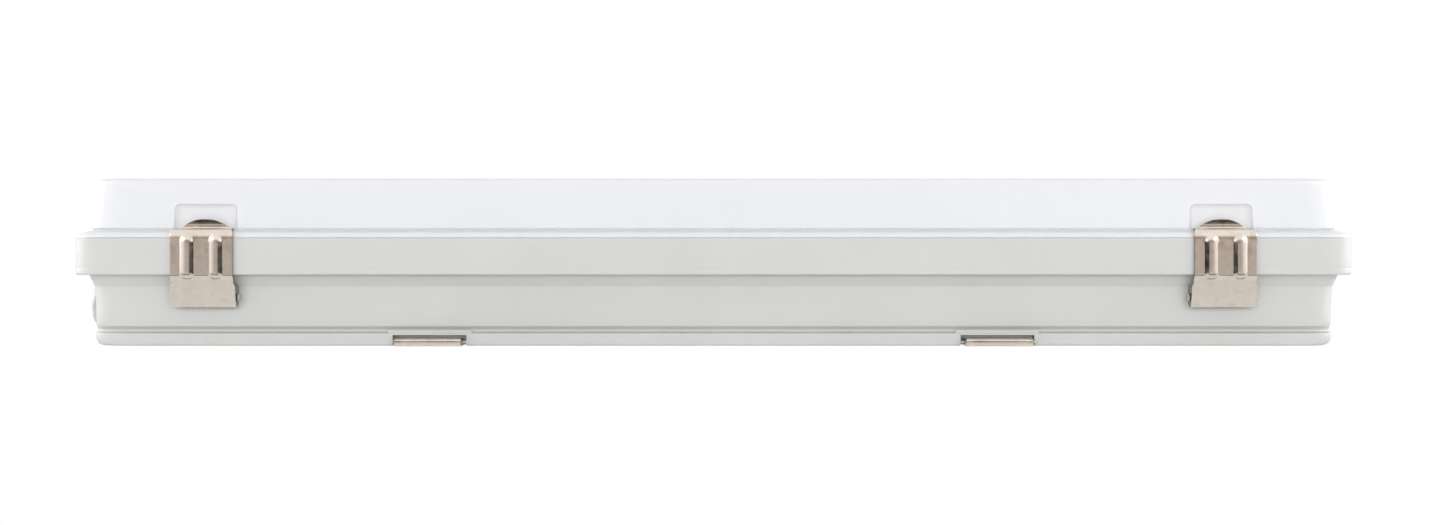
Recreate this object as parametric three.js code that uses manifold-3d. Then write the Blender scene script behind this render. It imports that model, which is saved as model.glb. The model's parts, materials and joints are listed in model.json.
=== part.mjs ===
// Vapor tight light fixture, two feet long, lying on its back with the lens up.
// Millimetres: +X along the length, -Y towards the front latches, +Z from the back to the lens.
// The origin is the centre of the flat back, the face that goes against the ceiling.
import * as THREE from "three";
import { mergeVertices } from "three/addons/utils/BufferGeometryUtils.js";
import Module from "manifold-3d";

const wasm = await Module();
wasm.setup();

// Clearances and roundness shared by all pieces
const seatGap = 0.3;
const cutOverrun = 1;
const cornerSteps = 5;
const roundSides = 12;
const wireSides = 8;

// Rim of the housing, the longest and widest outline of the fixture
const rimLength = 660;
const rimWidth = 126;
const rimCornerRadius = 21;
const cornerFollowShare = 0.5;
const rimDepth = 18.9;
const rimEdgeRadius = 1;

// Housing below the rim; an inset is measured inwards from the rim's outer face
const shellWall = 2.5;
const floorThickness = 3;
const bodyDepth = 36.5;
const bodyEndInset = 9.6;
const bodySideInset = 11.5;
const shoulderInset = 6;
const uprightHeight = 21;
const sideCreaseHeight = 30.5;
const backEdgeRadius = 4.5;
const sideGrooveTop = 16.4;
const sideGrooveBottom = 7;
const sideGrooveDepth = 2.2;
const sealGrooveDepth = 4.4;

// Seal and lens
const sealHeight = 3.3;
const lensDepth = 30.3;
const lensWall = 2.2;
const lensBaseInset = 6.8;
const lensDraft = 2.2;
const lensEdgeRadius = 3;
const flangeEdgeRadius = 3;
const flangeThickness = 4.8;
const flangeSlope = THREE.MathUtils.degToRad(24);
const sealRibWidth = 1.1;
const sealRibGap = 0.3;

// Lens pockets, where the latches hook over the flange
const pocketBackInset = 11;
const pocketHalfWidth = 15.5;
const pocketSideSlope = 2.8;
const pocketSeatThickness = 2.7;
const pocketHeight = 14.6;

// Latches, pressed from one sheet each
const latchEndInset = 70;
const latchWidth = 33;
const latchSheet = 1.2;
const latchStandOff = 1.3;
const latchHookGap = 0.6;
const latchFoldRadius = 3;
const latchStepRadius = 1.6;
const latchStepDepth = 2.9;
const latchStepHeight = 1.8;
const latchStepClearance = 0.5;
const latchLowerLean = 1.1;
const latchTailBelowPivot = 4.8;
const latchShoulderCut = 1.5;
const latchShoulderDrop = 3.7;
const tongueWidth = 25;
const tongueHeight = 5.6;
const tongueFootInset = 7.1;
const tongueLean = 2.5;
const latchRibSpacing = 14.8;
const latchRibRadius = 3.1;
const latchRibRise = 1.3;
const latchRibTopBelowFold = 3.2;
const latchFlangeBackGap = 0.6;
const pivotInset = 5.8;
const pivotHeight = 25;
const pivotPinRadius = 1.25;
const pivotEyeRadius = 4.8;
const pivotHeadRadius = 2.1;
const pivotHeadThickness = 0.8;
const pivotEarRadius = 2.9;
const pivotEarRoot = 1;
const pivotEarThickness = 5;

// Mounting brackets across the back
const bracketEndInset = 184;
const bracketWidth = 34;
const bracketSheet = 1.2;
const bracketHeight = 4;
const bracketBendRadius = 1.3;
const bracketSideReach = 9;
const bracketTongueReach = 7;
const bracketTongueEndGap = 1;
const bracketNotchWidth = 38;
const bracketNotchHeight = 5.5;
const bracketLedgeThickness = 1;
const bracketSlotWidth = 5.5;
const bracketSlotLength = 14;
const bracketSlotInset = 26.5;
const screwDomeRadius = 8;
const screwDomeHeight = 4.5;
const screwDomeWall = 2;

// Gear tray and its turn-locks
const trayEndInset = 30;
const traySideInset = 13;
const traySheet = 1;
const trayLipDepth = 10;
const trayDrop = 6.4;
const turnlockEndInset = 20;
const turnlockPostRadius = 6;
const turnlockShankRadius = 3;
const turnlockShankDepth = 12;
const turnlockHeadLength = 16;
const turnlockHeadWidth = 6;
const turnlockHeadHeight = 3;
const turnlockGripSlot = 1.4;
const turnlockGripDepth = 1.2;

// Light boards
const boardEndInset = 50;
const boardThickness = 1.6;
const boardSideInset = 15;
const boardMiddleInset = 13;
const emitterPitch = 28;
const emitterSize = 3;
const emitterHeight = 0.8;
const boardEndMargin = 16;
const connectorLength = 9;
const connectorWidth = 7;
const connectorHeight = 4.5;
const boardScrewInset = 5;
const connectorSide = 3.6;
const leadHoleDistance = 6;
const leadHoleRadius = 3;

// Pan-head screws
const screwRadius = 1.5;
const screwHeadRadius = 2.9;
const screwHeadHeight = 1.8;
const screwTailLength = 3;
const earthScrewInset = 8;
const earthScrewDistance = 68;
const screwRecessWidth = 1;
const screwRecessDepth = 0.8;

// Driver and terminal block under the tray
const driverLength = 190;
const driverWidth = 42;
const driverHeight = 23;
const driverEdgeChamfer = 2;
const driverTabLength = 14;
const driverTabThickness = 1.5;
const driverOffset = 30;
const driverSocketWidth = 16;
const driverSocketDepth = 4;
const driverSocketHeight = 7;
const terminalEndInset = 100;
const terminalLength = 20;
const terminalWidth = 34;
const terminalHeight = 17;
const terminalPitch = 10;
const terminalEntryRadius = 1.9;
const terminalEntryDepth = 5;
const terminalEntryDrop = 6;
const terminalScrewWellRadius = 2.2;
const terminalScrewWellDepth = 3;

// Wires inside the fixture
const wireRadius = 0.9;
const wireStepDiameters = 3;
const wireStub = 8;
const wireSlack = 5;
const wireSpacing = 3;
const earthLugRadius = 3.6;
const earthLugThickness = 0.8;

// Cable gland at the left end and blanking plug at the right end
const entryHeight = 20;
const entryHoleRadius = 10;
const entryPadRadius = 14.5;
const entryPadStandOff = 2;
const entryPadInnerDepth = 6;
const threadTail = 2;
const glandBoreRadius = 5.2;
const glandFlangeAcross = 25;
const glandFlangeThickness = 3;
const glandCollarRadius = 9;
const glandNutAcross = 22;
const glandNutLength = 5.5;
const glandNutFace = 1.6;
const glandCollarWall = 1.5;
const washerThickness = 1;
const locknutAcross = 25;
const locknutThickness = 4;
const plugHeadRadius = 12.5;
const plugHeadThickness = 3;
const plugBoreRadius = 6.5;
const plugCoinSlotWidth = 2.4;
const plugCoinSlotDepth = 1.2;

// Places that follow from the sizes above
const rimHalfLength = rimLength / 2;
const rimHalfWidth = rimWidth / 2;
const rimTop = bodyDepth + rimDepth;
const latchX = rimHalfLength - latchEndInset;
const bracketX = rimHalfLength - bracketEndInset;
const bracketSlotY = rimHalfWidth - bodySideInset - bracketSlotInset;
const sealGrooveFloor = rimTop - sealGrooveDepth;
const lensBottom = rimTop + seatGap;
const lensTop = lensBottom + lensDepth;
const flangeTop = lensBottom + flangeThickness;
const pocketFloor = lensBottom + pocketSeatThickness;
const trayHalfLength = rimHalfLength - trayEndInset;
const trayHalfWidth = rimHalfWidth - traySideInset;
const trayHeight = rimTop - trayDrop;
const trayTop = trayHeight + traySheet;
const turnlockX = trayHalfLength - turnlockEndInset;
const terminalX = terminalEndInset - trayHalfLength;
const boardHalfLength = trayHalfLength - boardEndInset;
const boardWidth = trayHalfWidth - boardSideInset - boardMiddleInset;
const boardY = boardMiddleInset + boardWidth / 2;
const boardBottom = trayTop + seatGap;
const boardTop = boardBottom + boardThickness;
const sides = [-1, 1];

// Colours and finishes, taken from the photograph where the piece shows
const housingPlastic = { color: 0xd5d6d3, roughness: 0.5, metalness: 0 };
const lensPlastic = { color: 0xecedf0, roughness: 0.35, metalness: 0 };
const stainless = { color: 0xc9b9a6, roughness: 0.25, metalness: 1 };
const zincSteel = { color: 0xbfc3c6, roughness: 0.35, metalness: 1 };
const whitePaint = { color: 0xf2f2ee, roughness: 0.4, metalness: 0 };
const sealFoam = { color: 0x3b3b3d, roughness: 0.9, metalness: 0 };
const greyNylon = { color: 0xb9bcbb, roughness: 0.55, metalness: 0 };
const whiteNylon = { color: 0xe9e8e2, roughness: 0.5, metalness: 0 };
const boardWhite = { color: 0xf5f5f2, roughness: 0.5, metalness: 0 };
const wireColours = { brown: 0x6b3f22, blue: 0x2c5aa8, green: 0x3f8a3a, red: 0xb5312b, black: 0x222224 };

const fixture = new THREE.Group();

// A closed geometry as a solid that can be joined and cut.
function toSolid(geometry) {
  const bare = geometry.clone();
  bare.deleteAttribute("normal");
  bare.deleteAttribute("uv");
  const merged = mergeVertices(bare);
  return new wasm.Manifold(
    new wasm.Mesh({
      numProp: 3,
      vertProperties: new Float32Array(merged.attributes.position.array),
      triVerts: new Uint32Array(merged.index.array),
    }),
  );
}

// A solid as a flat-shaded geometry.
function toGeometry(solid) {
  const { vertProperties, triVerts } = solid.getMesh();
  const indexed = new THREE.BufferGeometry();
  indexed.setAttribute("position", new THREE.BufferAttribute(vertProperties, 3));
  indexed.setIndex(new THREE.BufferAttribute(triVerts, 1));
  const flat = indexed.toNonIndexed();
  flat.computeVertexNormals();
  return flat;
}

function join(solids) {
  return solids.reduce((whole, solid) => whole.add(solid));
}

function cut(solid, cutters) {
  return cutters.reduce((rest, cutter) => rest.subtract(cutter), solid);
}

// Puts one named piece into a group, the fixture itself unless another is given.
function addPiece(name, shape, finish, parent = fixture) {
  const geometry = shape.isBufferGeometry ? shape : toGeometry(shape);
  const mesh = new THREE.Mesh(geometry, new THREE.MeshStandardMaterial(finish));
  mesh.name = name;
  parent.add(mesh);
  return mesh;
}

// A box between two corners.
function box(from, to) {
  const bounds = new THREE.Box3().setFromPoints([new THREE.Vector3(...from), new THREE.Vector3(...to)]);
  const size = bounds.getSize(new THREE.Vector3());
  const middle = bounds.getCenter(new THREE.Vector3());
  return toSolid(new THREE.BoxGeometry(size.x, size.y, size.z).translate(middle.x, middle.y, middle.z));
}

// A cylinder, or a prism of few sides, along X or Z between two places on its axis.
function rodAlongX(radius, fromX, toX, y, z, sidesRound = roundSides) {
  const rod = new THREE.CylinderGeometry(radius, radius, toX - fromX, sidesRound);
  return toSolid(rod.rotateZ(Math.PI / 2).translate((fromX + toX) / 2, y, z));
}

function rodAlongZ(radius, fromZ, toZ, x, y, sidesRound = roundSides) {
  const rod = new THREE.CylinderGeometry(radius, radius, toZ - fromZ, sidesRound);
  return toSolid(rod.rotateX(Math.PI / 2).translate(x, y, (fromZ + toZ) / 2));
}

// A hexagon bar along X, given its size across the flats.
function hexAlongX(across, fromX, toX, y, z) {
  return rodAlongX(across / Math.sqrt(3), fromX, toX, y, z, 6);
}

function extrude(outline, length) {
  return new THREE.ExtrudeGeometry(new THREE.Shape(outline), { depth: length, bevelEnabled: false });
}

// An outline of (y, z) points run along X, with x = 0 in the middle.
function prismAlongX(outline, length) {
  const turn = new THREE.Matrix4().set(0, 0, 1, -length / 2, 1, 0, 0, 0, 0, 1, 0, 0, 0, 0, 0, 1);
  return toSolid(extrude(outline, length).applyMatrix4(turn));
}

// An outline of (x, z) points run along Y, with y = 0 in the middle.
function prismAlongY(outline, length) {
  return toSolid(extrude(outline, length).rotateX(Math.PI / 2).translate(0, length / 2, 0));
}

// An outline of (x, y) points run up from one height to another.
function prismAlongZ(outline, fromZ, toZ) {
  return toSolid(extrude(outline, toZ - fromZ).translate(0, 0, fromZ));
}

function point(x, y) {
  return new THREE.Vector2(x, y);
}

function mix(from, to, share) {
  return from + (to - from) * share;
}

// The points of a rounded rectangle that lies inside the rim by an inset at the ends and at the sides.
function insetRing(endInset, sideInset) {
  const halfX = rimHalfLength - endInset;
  const halfY = rimHalfWidth - sideInset;
  const radius = rimCornerRadius - cornerFollowShare * Math.min(endInset, sideInset);
  const corners = [[1, 1], [-1, 1], [-1, -1], [1, -1]];
  return corners.flatMap(([signX, signY], quarter) =>
    Array.from({ length: cornerSteps + 1 }, (_, step) => {
      const angle = (quarter + step / cornerSteps) * (Math.PI / 2);
      return point(
        signX * (halfX - radius) + radius * Math.cos(angle),
        signY * (halfY - radius) + radius * Math.sin(angle),
      );
    }),
  );
}

function level(z, endInset, sideInset = endInset) {
  return { z, endInset, sideInset };
}

// A solid through a stack of rounded rectangles, lowest first, closed by a flat at the bottom and the top.
function loft(levels) {
  const rings = levels.map(({ z, endInset, sideInset }) =>
    insetRing(endInset, sideInset).map((p) => [p.x, p.y, z]),
  );
  const count = rings[0].length;
  const positions = rings.flat(2);
  const triangles = sideTriangles(rings.length - 1, count, (ring) => ring);
  for (let i = 1; i < count - 1; i++) {
    const top = (rings.length - 1) * count;
    triangles.push(0, i + 1, i, top, top + i, top + i + 1);
  }
  return meshSolid(positions, triangles);
}

// A closed profile of levels run once round the rounded rectangle, up the outer side and down the inner one.
function band(profile) {
  const rings = profile.map(({ z, endInset, sideInset }) =>
    insetRing(endInset, sideInset).map((p) => [p.x, p.y, z]),
  );
  const triangles = sideTriangles(rings.length, rings[0].length, (ring) => ring % rings.length);
  return meshSolid(rings.flat(2), triangles);
}

function sideTriangles(bands, count, wrap) {
  const triangles = [];
  for (let ring = 0; ring < bands; ring++) {
    const lower = wrap(ring) * count;
    const upper = wrap(ring + 1) * count;
    for (let i = 0; i < count; i++) {
      const next = (i + 1) % count;
      triangles.push(lower + i, lower + next, upper + next, lower + i, upper + next, upper + i);
    }
  }
  return triangles;
}

function meshSolid(positions, triangles) {
  const geometry = new THREE.BufferGeometry();
  geometry.setAttribute("position", new THREE.Float32BufferAttribute(positions, 3));
  geometry.setIndex(triangles);
  return toSolid(geometry);
}

// A bent path: straight runs between the corners, with each inner corner rounded to its radius.
function bentPath(corners, steps = 3) {
  const path = [corners[0].at];
  for (let i = 1; i < corners.length - 1; i++) {
    const { at, radius } = corners[i];
    const back = corners[i - 1].at.clone().sub(at).normalize();
    const ahead = corners[i + 1].at.clone().sub(at).normalize();
    const halfTurn = Math.acos(THREE.MathUtils.clamp(back.dot(ahead), -1, 1)) / 2;
    const reach = radius / Math.tan(halfTurn);
    const centre = back.clone().add(ahead).normalize().multiplyScalar(radius / Math.sin(halfTurn)).add(at);
    const start = back.multiplyScalar(reach).add(at);
    const end = ahead.multiplyScalar(reach).add(at);
    const startArm = start.clone().sub(centre);
    const endArm = end.clone().sub(centre);
    const turn = Math.atan2(startArm.cross(endArm), startArm.dot(endArm));
    for (let step = 0; step <= steps; step++) {
      path.push(start.clone().rotateAround(centre, (turn * step) / steps));
    }
  }
  path.push(corners.at(-1).at);
  return path;
}

// The outline of a sheet of one thickness that follows a path, half of it to each side.
function sheetOutline(path, thickness) {
  const offset = (distance) =>
    path.map((at, i) => {
      const before = at.clone().sub(path[Math.max(i - 1, 0)]).normalize();
      const after = path[Math.min(i + 1, path.length - 1)].clone().sub(at).normalize();
      const along = before.clone().add(after).normalize();
      const straight = i === 0 ? after : before;
      const stretch = distance / along.dot(straight);
      return point(at.x - along.y * stretch, at.y + along.x * stretch);
    });
  return [...offset(thickness / 2), ...offset(-thickness / 2).reverse()];
}

// Points on an arc, both ends included.
function arc(centre, radius, fromAngle, toAngle, steps) {
  return Array.from({ length: steps + 1 }, (_, step) => {
    const angle = mix(fromAngle, toAngle, step / steps);
    return point(centre.x + radius * Math.cos(angle), centre.y + radius * Math.sin(angle));
  });
}

// How far the housing's long side lies inside the rim at a height above the back.
function sideInsetAt(z) {
  const share = THREE.MathUtils.clamp((z - sideCreaseHeight) / (bodyDepth - sideCreaseHeight), 0, 1);
  return mix(bodySideInset, shoulderInset, share);
}

// The same at the two ends, which flare from lower down.
function endInsetAt(z) {
  const share = THREE.MathUtils.clamp((z - uprightHeight) / (bodyDepth - uprightHeight), 0, 1);
  return mix(bodyEndInset, shoulderInset, share);
}

// A level of the housing's own outline, or of a hollow some way inside it.
function bodyLevel(z, endDepth = 0, sideDepth = endDepth) {
  return level(z, endInsetAt(z) + endDepth, sideInsetAt(z) + sideDepth);
}

// The places of the four latches along and across the fixture.
function latchPlaces() {
  return sides.flatMap((across) => sides.map((along) => ({ across, x: along * latchX })));
}

// The body below the rim: rounded back edge, upright walls, then a flare out to the shoulder.
function bodyOutside() {
  const edgeSteps = 3;
  const backEdge = Array.from({ length: edgeSteps + 1 }, (_, step) => {
    const angle = (step / edgeSteps) * (Math.PI / 2);
    const inward = backEdgeRadius * (1 - Math.sin(angle));
    return bodyLevel(backEdgeRadius * (1 - Math.cos(angle)), inward);
  });
  return loft([
    ...backEdge,
    bodyLevel(uprightHeight),
    bodyLevel(sideCreaseHeight),
    bodyLevel(bodyDepth),
    bodyLevel(rimTop),
  ]);
}

// The hollow of the housing, with thicker walls behind the long grooves.
function bodyInside() {
  const grooveWall = shellWall + sideGrooveDepth;
  return loft([
    bodyLevel(floorThickness, shellWall + shellWall, grooveWall + shellWall),
    bodyLevel(floorThickness + shellWall, shellWall, grooveWall),
    bodyLevel(sideGrooveTop, shellWall, grooveWall),
    bodyLevel(sideGrooveTop + sideGrooveDepth, shellWall),
    bodyLevel(sideCreaseHeight, shellWall),
    bodyLevel(bodyDepth, shellWall),
    bodyLevel(rimTop + cutOverrun, shellWall),
  ]);
}

// The rim: a skirt that hangs outside the shoulder, and the groove between them that holds the seal.
function rimBand() {
  const webInner = shoulderInset + shellWall / 2;
  const webUnderside = sealGrooveFloor - shellWall;
  return band([
    level(bodyDepth, rimEdgeRadius),
    level(bodyDepth + rimEdgeRadius, 0),
    level(rimTop - rimEdgeRadius, 0),
    level(rimTop, rimEdgeRadius),
    level(rimTop, shellWall),
    level(sealGrooveFloor, shellWall),
    level(sealGrooveFloor, webInner),
    level(webUnderside, webInner),
    level(webUnderside, shellWall),
    level(bodyDepth, shellWall),
  ]);
}

// The long groove above the lip on both sides: shares of its depth and of its height, from the top down.
const sideGrooveShares = [[0, 0], [0.15, 0.3], [0.5, 0.55], [1, 0.75], [1, 0.92], [0, 1]];

function sideGrooves() {
  const face = rimHalfWidth - bodySideInset;
  const outline = sideGrooveShares.map(([depthShare, heightShare]) =>
    point(face - depthShare * sideGrooveDepth, mix(sideGrooveTop, sideGrooveBottom, heightShare)),
  );
  outline.push(point(face + cutOverrun, sideGrooveBottom), point(face + cutOverrun, sideGrooveTop));
  return sides.map((side) => prismAlongX(outline.map((p) => point(side * p.x, p.y)), rimLength));
}

// Two ears for each latch, with the eye for its pin.
function pivotEars() {
  const pivotOut = rimHalfWidth - pivotInset;
  const root = rimHalfWidth - bodySideInset - shellWall / 2;
  const nose = arc(point(pivotOut, pivotHeight), pivotEarRadius, -Math.PI / 2, Math.PI / 2, 7);
  const outline = [
    ...nose,
    point(root, pivotHeight + pivotEarRadius),
    point(root, pivotHeight - pivotEarRoot),
  ];
  const earOffset = latchWidth / 2 - latchSheet - seatGap - pivotEarThickness / 2;
  return latchPlaces().flatMap(({ across, x }) =>
    sides.map((side) => {
      const earX = x + side * earOffset;
      const ear = prismAlongX(outline.map((p) => point(across * p.x, p.y)), pivotEarThickness);
      const reach = pivotEarThickness / 2 + cutOverrun;
      const eye = rodAlongX(pivotPinRadius + seatGap, -reach, reach, across * pivotOut, pivotHeight);
      return ear.subtract(eye).translate(earX, 0, 0);
    }),
  );
}

// What the housing has for one bracket: blocks behind the lip, and domes over the ceiling screws' heads.
function bracketBlocks(x) {
  const face = rimHalfWidth - bodySideInset;
  const blockDepth = bracketTongueReach + bracketTongueEndGap + shellWall;
  const halfWidth = bracketNotchWidth / 2 + shellWall;
  const top = bracketNotchHeight + shellWall;
  const blocks = sides.map((side) =>
    box([x - halfWidth, side * (face - blockDepth), floorThickness / 2], [x + halfWidth, side * face, top]),
  );
  const domes = bracketSlotPlaces().map((y) =>
    rodAlongZ(screwDomeRadius + screwDomeWall, floorThickness / 2, screwDomeHeight + screwDomeWall, x, y),
  );
  return join([...blocks, ...domes]);
}

// What is cut from the housing for one bracket: the channel, both notches and the hollows of the domes.
function bracketCuts(x) {
  const face = rimHalfWidth - bodySideInset;
  const halfWidth = bracketNotchWidth / 2;
  const channelTop = bracketSheet + seatGap;
  const channel = box([x - halfWidth, -rimHalfWidth, -cutOverrun], [x + halfWidth, rimHalfWidth, channelTop]);
  const notchFloor = channelTop + bracketLedgeThickness;
  const notchBack = face - bracketTongueReach - bracketTongueEndGap;
  const notches = sides.map((side) =>
    box(
      [x - halfWidth, side * notchBack, notchFloor],
      [x + halfWidth, side * rimHalfWidth, bracketNotchHeight],
    ),
  );
  const hollows = bracketSlotPlaces().map((y) =>
    rodAlongZ(screwDomeRadius, -cutOverrun, screwDomeHeight, x, y),
  );
  return join([channel, ...notches, ...hollows]);
}

function bracketPlaces() {
  return sides.map((side) => side * bracketX);
}

function bracketSlotPlaces() {
  return sides.map((side) => side * bracketSlotY);
}

// A post under each turn-lock, with its socket.
function turnlockPost(x) {
  const top = trayHeight - seatGap;
  const post = rodAlongZ(turnlockPostRadius, floorThickness / 2, top, x, 0);
  const socketRadius = turnlockShankRadius + seatGap;
  const socketFloor = top - turnlockShankDepth - seatGap;
  return post.subtract(rodAlongZ(socketRadius, socketFloor, top + cutOverrun, x, 0));
}

function turnlockPlaces() {
  return sides.map((side) => side * turnlockX);
}

// A flat round pad at each end, where the gland or the plug seats.
const entryPadFace = rimHalfLength - bodyEndInset + entryPadStandOff;
const entryPadBack = rimHalfLength - bodyEndInset - entryPadInnerDepth;

function entryPad(side) {
  const pad = rodAlongX(entryPadRadius, entryPadBack, entryPadFace, 0, entryHeight);
  return pad.rotate(0, 0, side < 0 ? 180 : 0);
}

// The hole through a pad, and the space in front of it that keeps its face flat.
function entryCut(side) {
  const hole = rodAlongX(entryHoleRadius, entryPadBack - cutOverrun, rimHalfLength, 0, entryHeight);
  const front = rodAlongX(entryPadRadius, entryPadFace, rimHalfLength, 0, entryHeight);
  return hole.add(front).rotate(0, 0, side < 0 ? 180 : 0);
}

function housingSolid() {
  const outside = bodyOutside();
  const blocks = bracketPlaces().map((x) => bracketBlocks(x).intersect(outside));
  const walls = join([outside.subtract(bodyInside()), rimBand(), ...sides.map(entryPad), ...blocks]);
  const grooved = cut(walls, [...sideGrooves(), ...bracketPlaces().map(bracketCuts)]);
  const fitted = join([grooved, ...pivotEars(), ...turnlockPlaces().map(turnlockPost)]);
  return cut(fitted, sides.map(entryCut));
}

// The foam seal in the rim's groove.
function sealSolid() {
  const bottom = sealGrooveFloor + seatGap;
  const top = bottom + sealHeight;
  const outer = shellWall + seatGap;
  const inner = shoulderInset - seatGap;
  return band([level(bottom, outer), level(top, outer), level(top, inner), level(bottom, inner)]);
}

// The outline of a lens pocket seen from above: narrow at its back wall, straight past the lens wall.
function pocketOutline(grow) {
  const back = rimHalfWidth - pocketBackInset - grow;
  const mouth = rimHalfWidth - lensBaseInset;
  const narrow = pocketHalfWidth + grow;
  const wide = narrow + pocketSideSlope;
  const outside = rimHalfWidth + cutOverrun;
  return [
    point(-narrow, back),
    point(narrow, back),
    point(wide, mouth),
    point(wide, outside),
    point(-wide, outside),
    point(-wide, mouth),
  ];
}

function pockets(grow, fromZ, toZ) {
  return latchPlaces().map(({ across, x }) => {
    const outline = pocketOutline(grow).map((p) => point(p.x + x, across * p.y));
    return prismAlongZ(outline, fromZ, toZ);
  });
}

// The lens: a flange that slopes out over the rim, a tall wall with a little draft, a pocket at each latch, and
// a rib that presses into the seal.
function lensSolid() {
  const flangeCentre = point(seatGap + flangeEdgeRadius, lensBottom);
  const flangeEdge = arc(flangeCentre, flangeEdgeRadius, Math.PI, Math.PI / 2 + flangeSlope, 3);
  const topInset = lensBaseInset + lensDraft;
  const topCentre = point(topInset + lensEdgeRadius, lensTop - lensEdgeRadius);
  const topEdge = arc(topCentre, lensEdgeRadius, Math.PI, Math.PI / 2, 3);
  const outside = loft([
    ...flangeEdge.map((p) => level(p.y, p.x)),
    level(flangeTop, lensBaseInset),
    ...topEdge.map((p) => level(p.y, p.x)),
  ]);
  const inside = loft([
    level(lensBottom - cutOverrun, lensBaseInset + lensWall),
    level(flangeTop, lensBaseInset + lensWall),
    level(lensTop - lensEdgeRadius, topInset + lensWall),
    level(lensTop - lensWall, topInset + lensEdgeRadius),
  ]);
  const ribMiddle = (shellWall + shoulderInset) / 2;
  const ribBottom = sealGrooveFloor + seatGap + sealHeight + sealRibGap;
  const ribTop = lensBottom + pocketSeatThickness / 2;
  const rib = band([
    level(ribBottom, ribMiddle - sealRibWidth / 2),
    level(ribTop, ribMiddle - sealRibWidth / 2),
    level(ribTop, ribMiddle + sealRibWidth / 2),
    level(ribBottom, ribMiddle + sealRibWidth / 2),
  ]);
  const pocketTop = pocketFloor + pocketHeight;
  const hollow = cut(inside, pockets(lensWall, lensBottom - cutOverrun, pocketTop + lensWall));
  return join([cut(outside, [hollow, ...pockets(0, pocketFloor, pocketTop)]), rib]);
}

// One latch about its pivot: the sheet's path from the tongue, over the flange and down the rim, to its tail.
function latchSolid() {
  const frontY = pivotInset + latchStandOff + latchSheet / 2;
  const foldZ = pocketFloor + latchHookGap + latchSheet / 2 - pivotHeight;
  const stepZ = bodyDepth - latchStepClearance - pivotHeight;
  const footY = pivotInset - tongueFootInset;
  const panelTop = point(frontY - latchStepDepth, stepZ - latchStepHeight);
  const panelTail = point(panelTop.x - latchLowerLean, -latchTailBelowPivot);
  const path = bentPath([
    { at: point(footY - tongueLean, foldZ + tongueHeight) },
    { at: point(footY, foldZ), radius: latchStepRadius },
    { at: point(frontY, foldZ), radius: latchFoldRadius },
    { at: point(frontY, stepZ), radius: latchStepRadius },
    { at: panelTop, radius: latchStepRadius },
    { at: panelTail },
  ]);
  const sheet = prismAlongX(sheetOutline(path, latchSheet), latchWidth);
  const face = sheet.intersect(prismAlongY(latchFaceOutline(foldZ + latchSheet / 2), rimWidth));
  const ribs = sides.map((side) => latchRib((side * latchRibSpacing) / 2, frontY, stepZ, foldZ));
  const flangeX = (latchWidth - latchSheet) / 2;
  const flanges = sides.map((side) => latchFlange(panelTop, panelTail).translate(side * flangeX, 0, 0));
  const eye = rodAlongX(pivotPinRadius + seatGap, -latchWidth, latchWidth, 0, 0);
  return join([face, ...ribs, ...flanges]).subtract(eye);
}

// The latch seen from the front: square tail, eased shoulders, and the tongue as a low dome above the fold.
function latchFaceOutline(foldTop) {
  const halfWidth = latchWidth / 2;
  const rise = tongueHeight - latchSheet / 2;
  const radius = ((tongueWidth / 2) ** 2 + rise ** 2) / (2 * rise);
  const spread = Math.asin(tongueWidth / 2 / radius);
  const centre = point(0, foldTop + rise - radius);
  return [
    point(-halfWidth, -pivotHeight),
    point(halfWidth, -pivotHeight),
    point(halfWidth, foldTop - latchShoulderDrop),
    point(halfWidth - latchShoulderCut, foldTop),
    ...arc(centre, radius, Math.PI / 2 - spread, Math.PI / 2 + spread, 8),
    point(-halfWidth + latchShoulderCut, foldTop),
    point(-halfWidth, foldTop - latchShoulderDrop),
  ];
}

// One pressed rib, round in section, that stands out of the latch's face.
function latchRib(x, frontY, stepZ, foldZ) {
  const top = foldZ - latchRibTopBelowFold;
  const bottom = stepZ - latchStepHeight / 2;
  const rib = new THREE.CapsuleGeometry(latchRibRadius, top - bottom - 2 * latchRibRadius, 3, 12);
  const y = frontY + latchSheet / 2 + latchRibRise - latchRibRadius;
  const solid = toSolid(rib.rotateX(Math.PI / 2).translate(x, y, (top + bottom) / 2));
  const low = [x - latchRibRadius, frontY, bottom];
  const front = box(low, [x + latchRibRadius, frontY + 2 * latchRibRadius, top]);
  return solid.intersect(front);
}

// One side flange, from the lower panel back to the eye for the pin.
function latchFlange(panelTop, panelTail) {
  const backY = pivotInset - sideInsetAt(panelTop.y + pivotHeight) + latchFlangeBackGap;
  const eye = arc(point(0, 0), pivotEyeRadius, Math.PI, 1.5 * Math.PI, 6);
  return prismAlongX([panelTail, panelTop, point(backY, panelTop.y), ...eye], latchSheet);
}

// A pivot pin with a riveted head at each end.
function pinSolid() {
  const headStart = latchWidth / 2 + seatGap;
  const headEnd = headStart + pivotHeadThickness;
  const shaft = rodAlongX(pivotPinRadius, -headEnd, headEnd, 0, 0);
  return join([
    shaft,
    rodAlongX(pivotHeadRadius, headStart, headEnd, 0, 0),
    rodAlongX(pivotHeadRadius, -headEnd, -headStart, 0, 0),
  ]);
}

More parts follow.
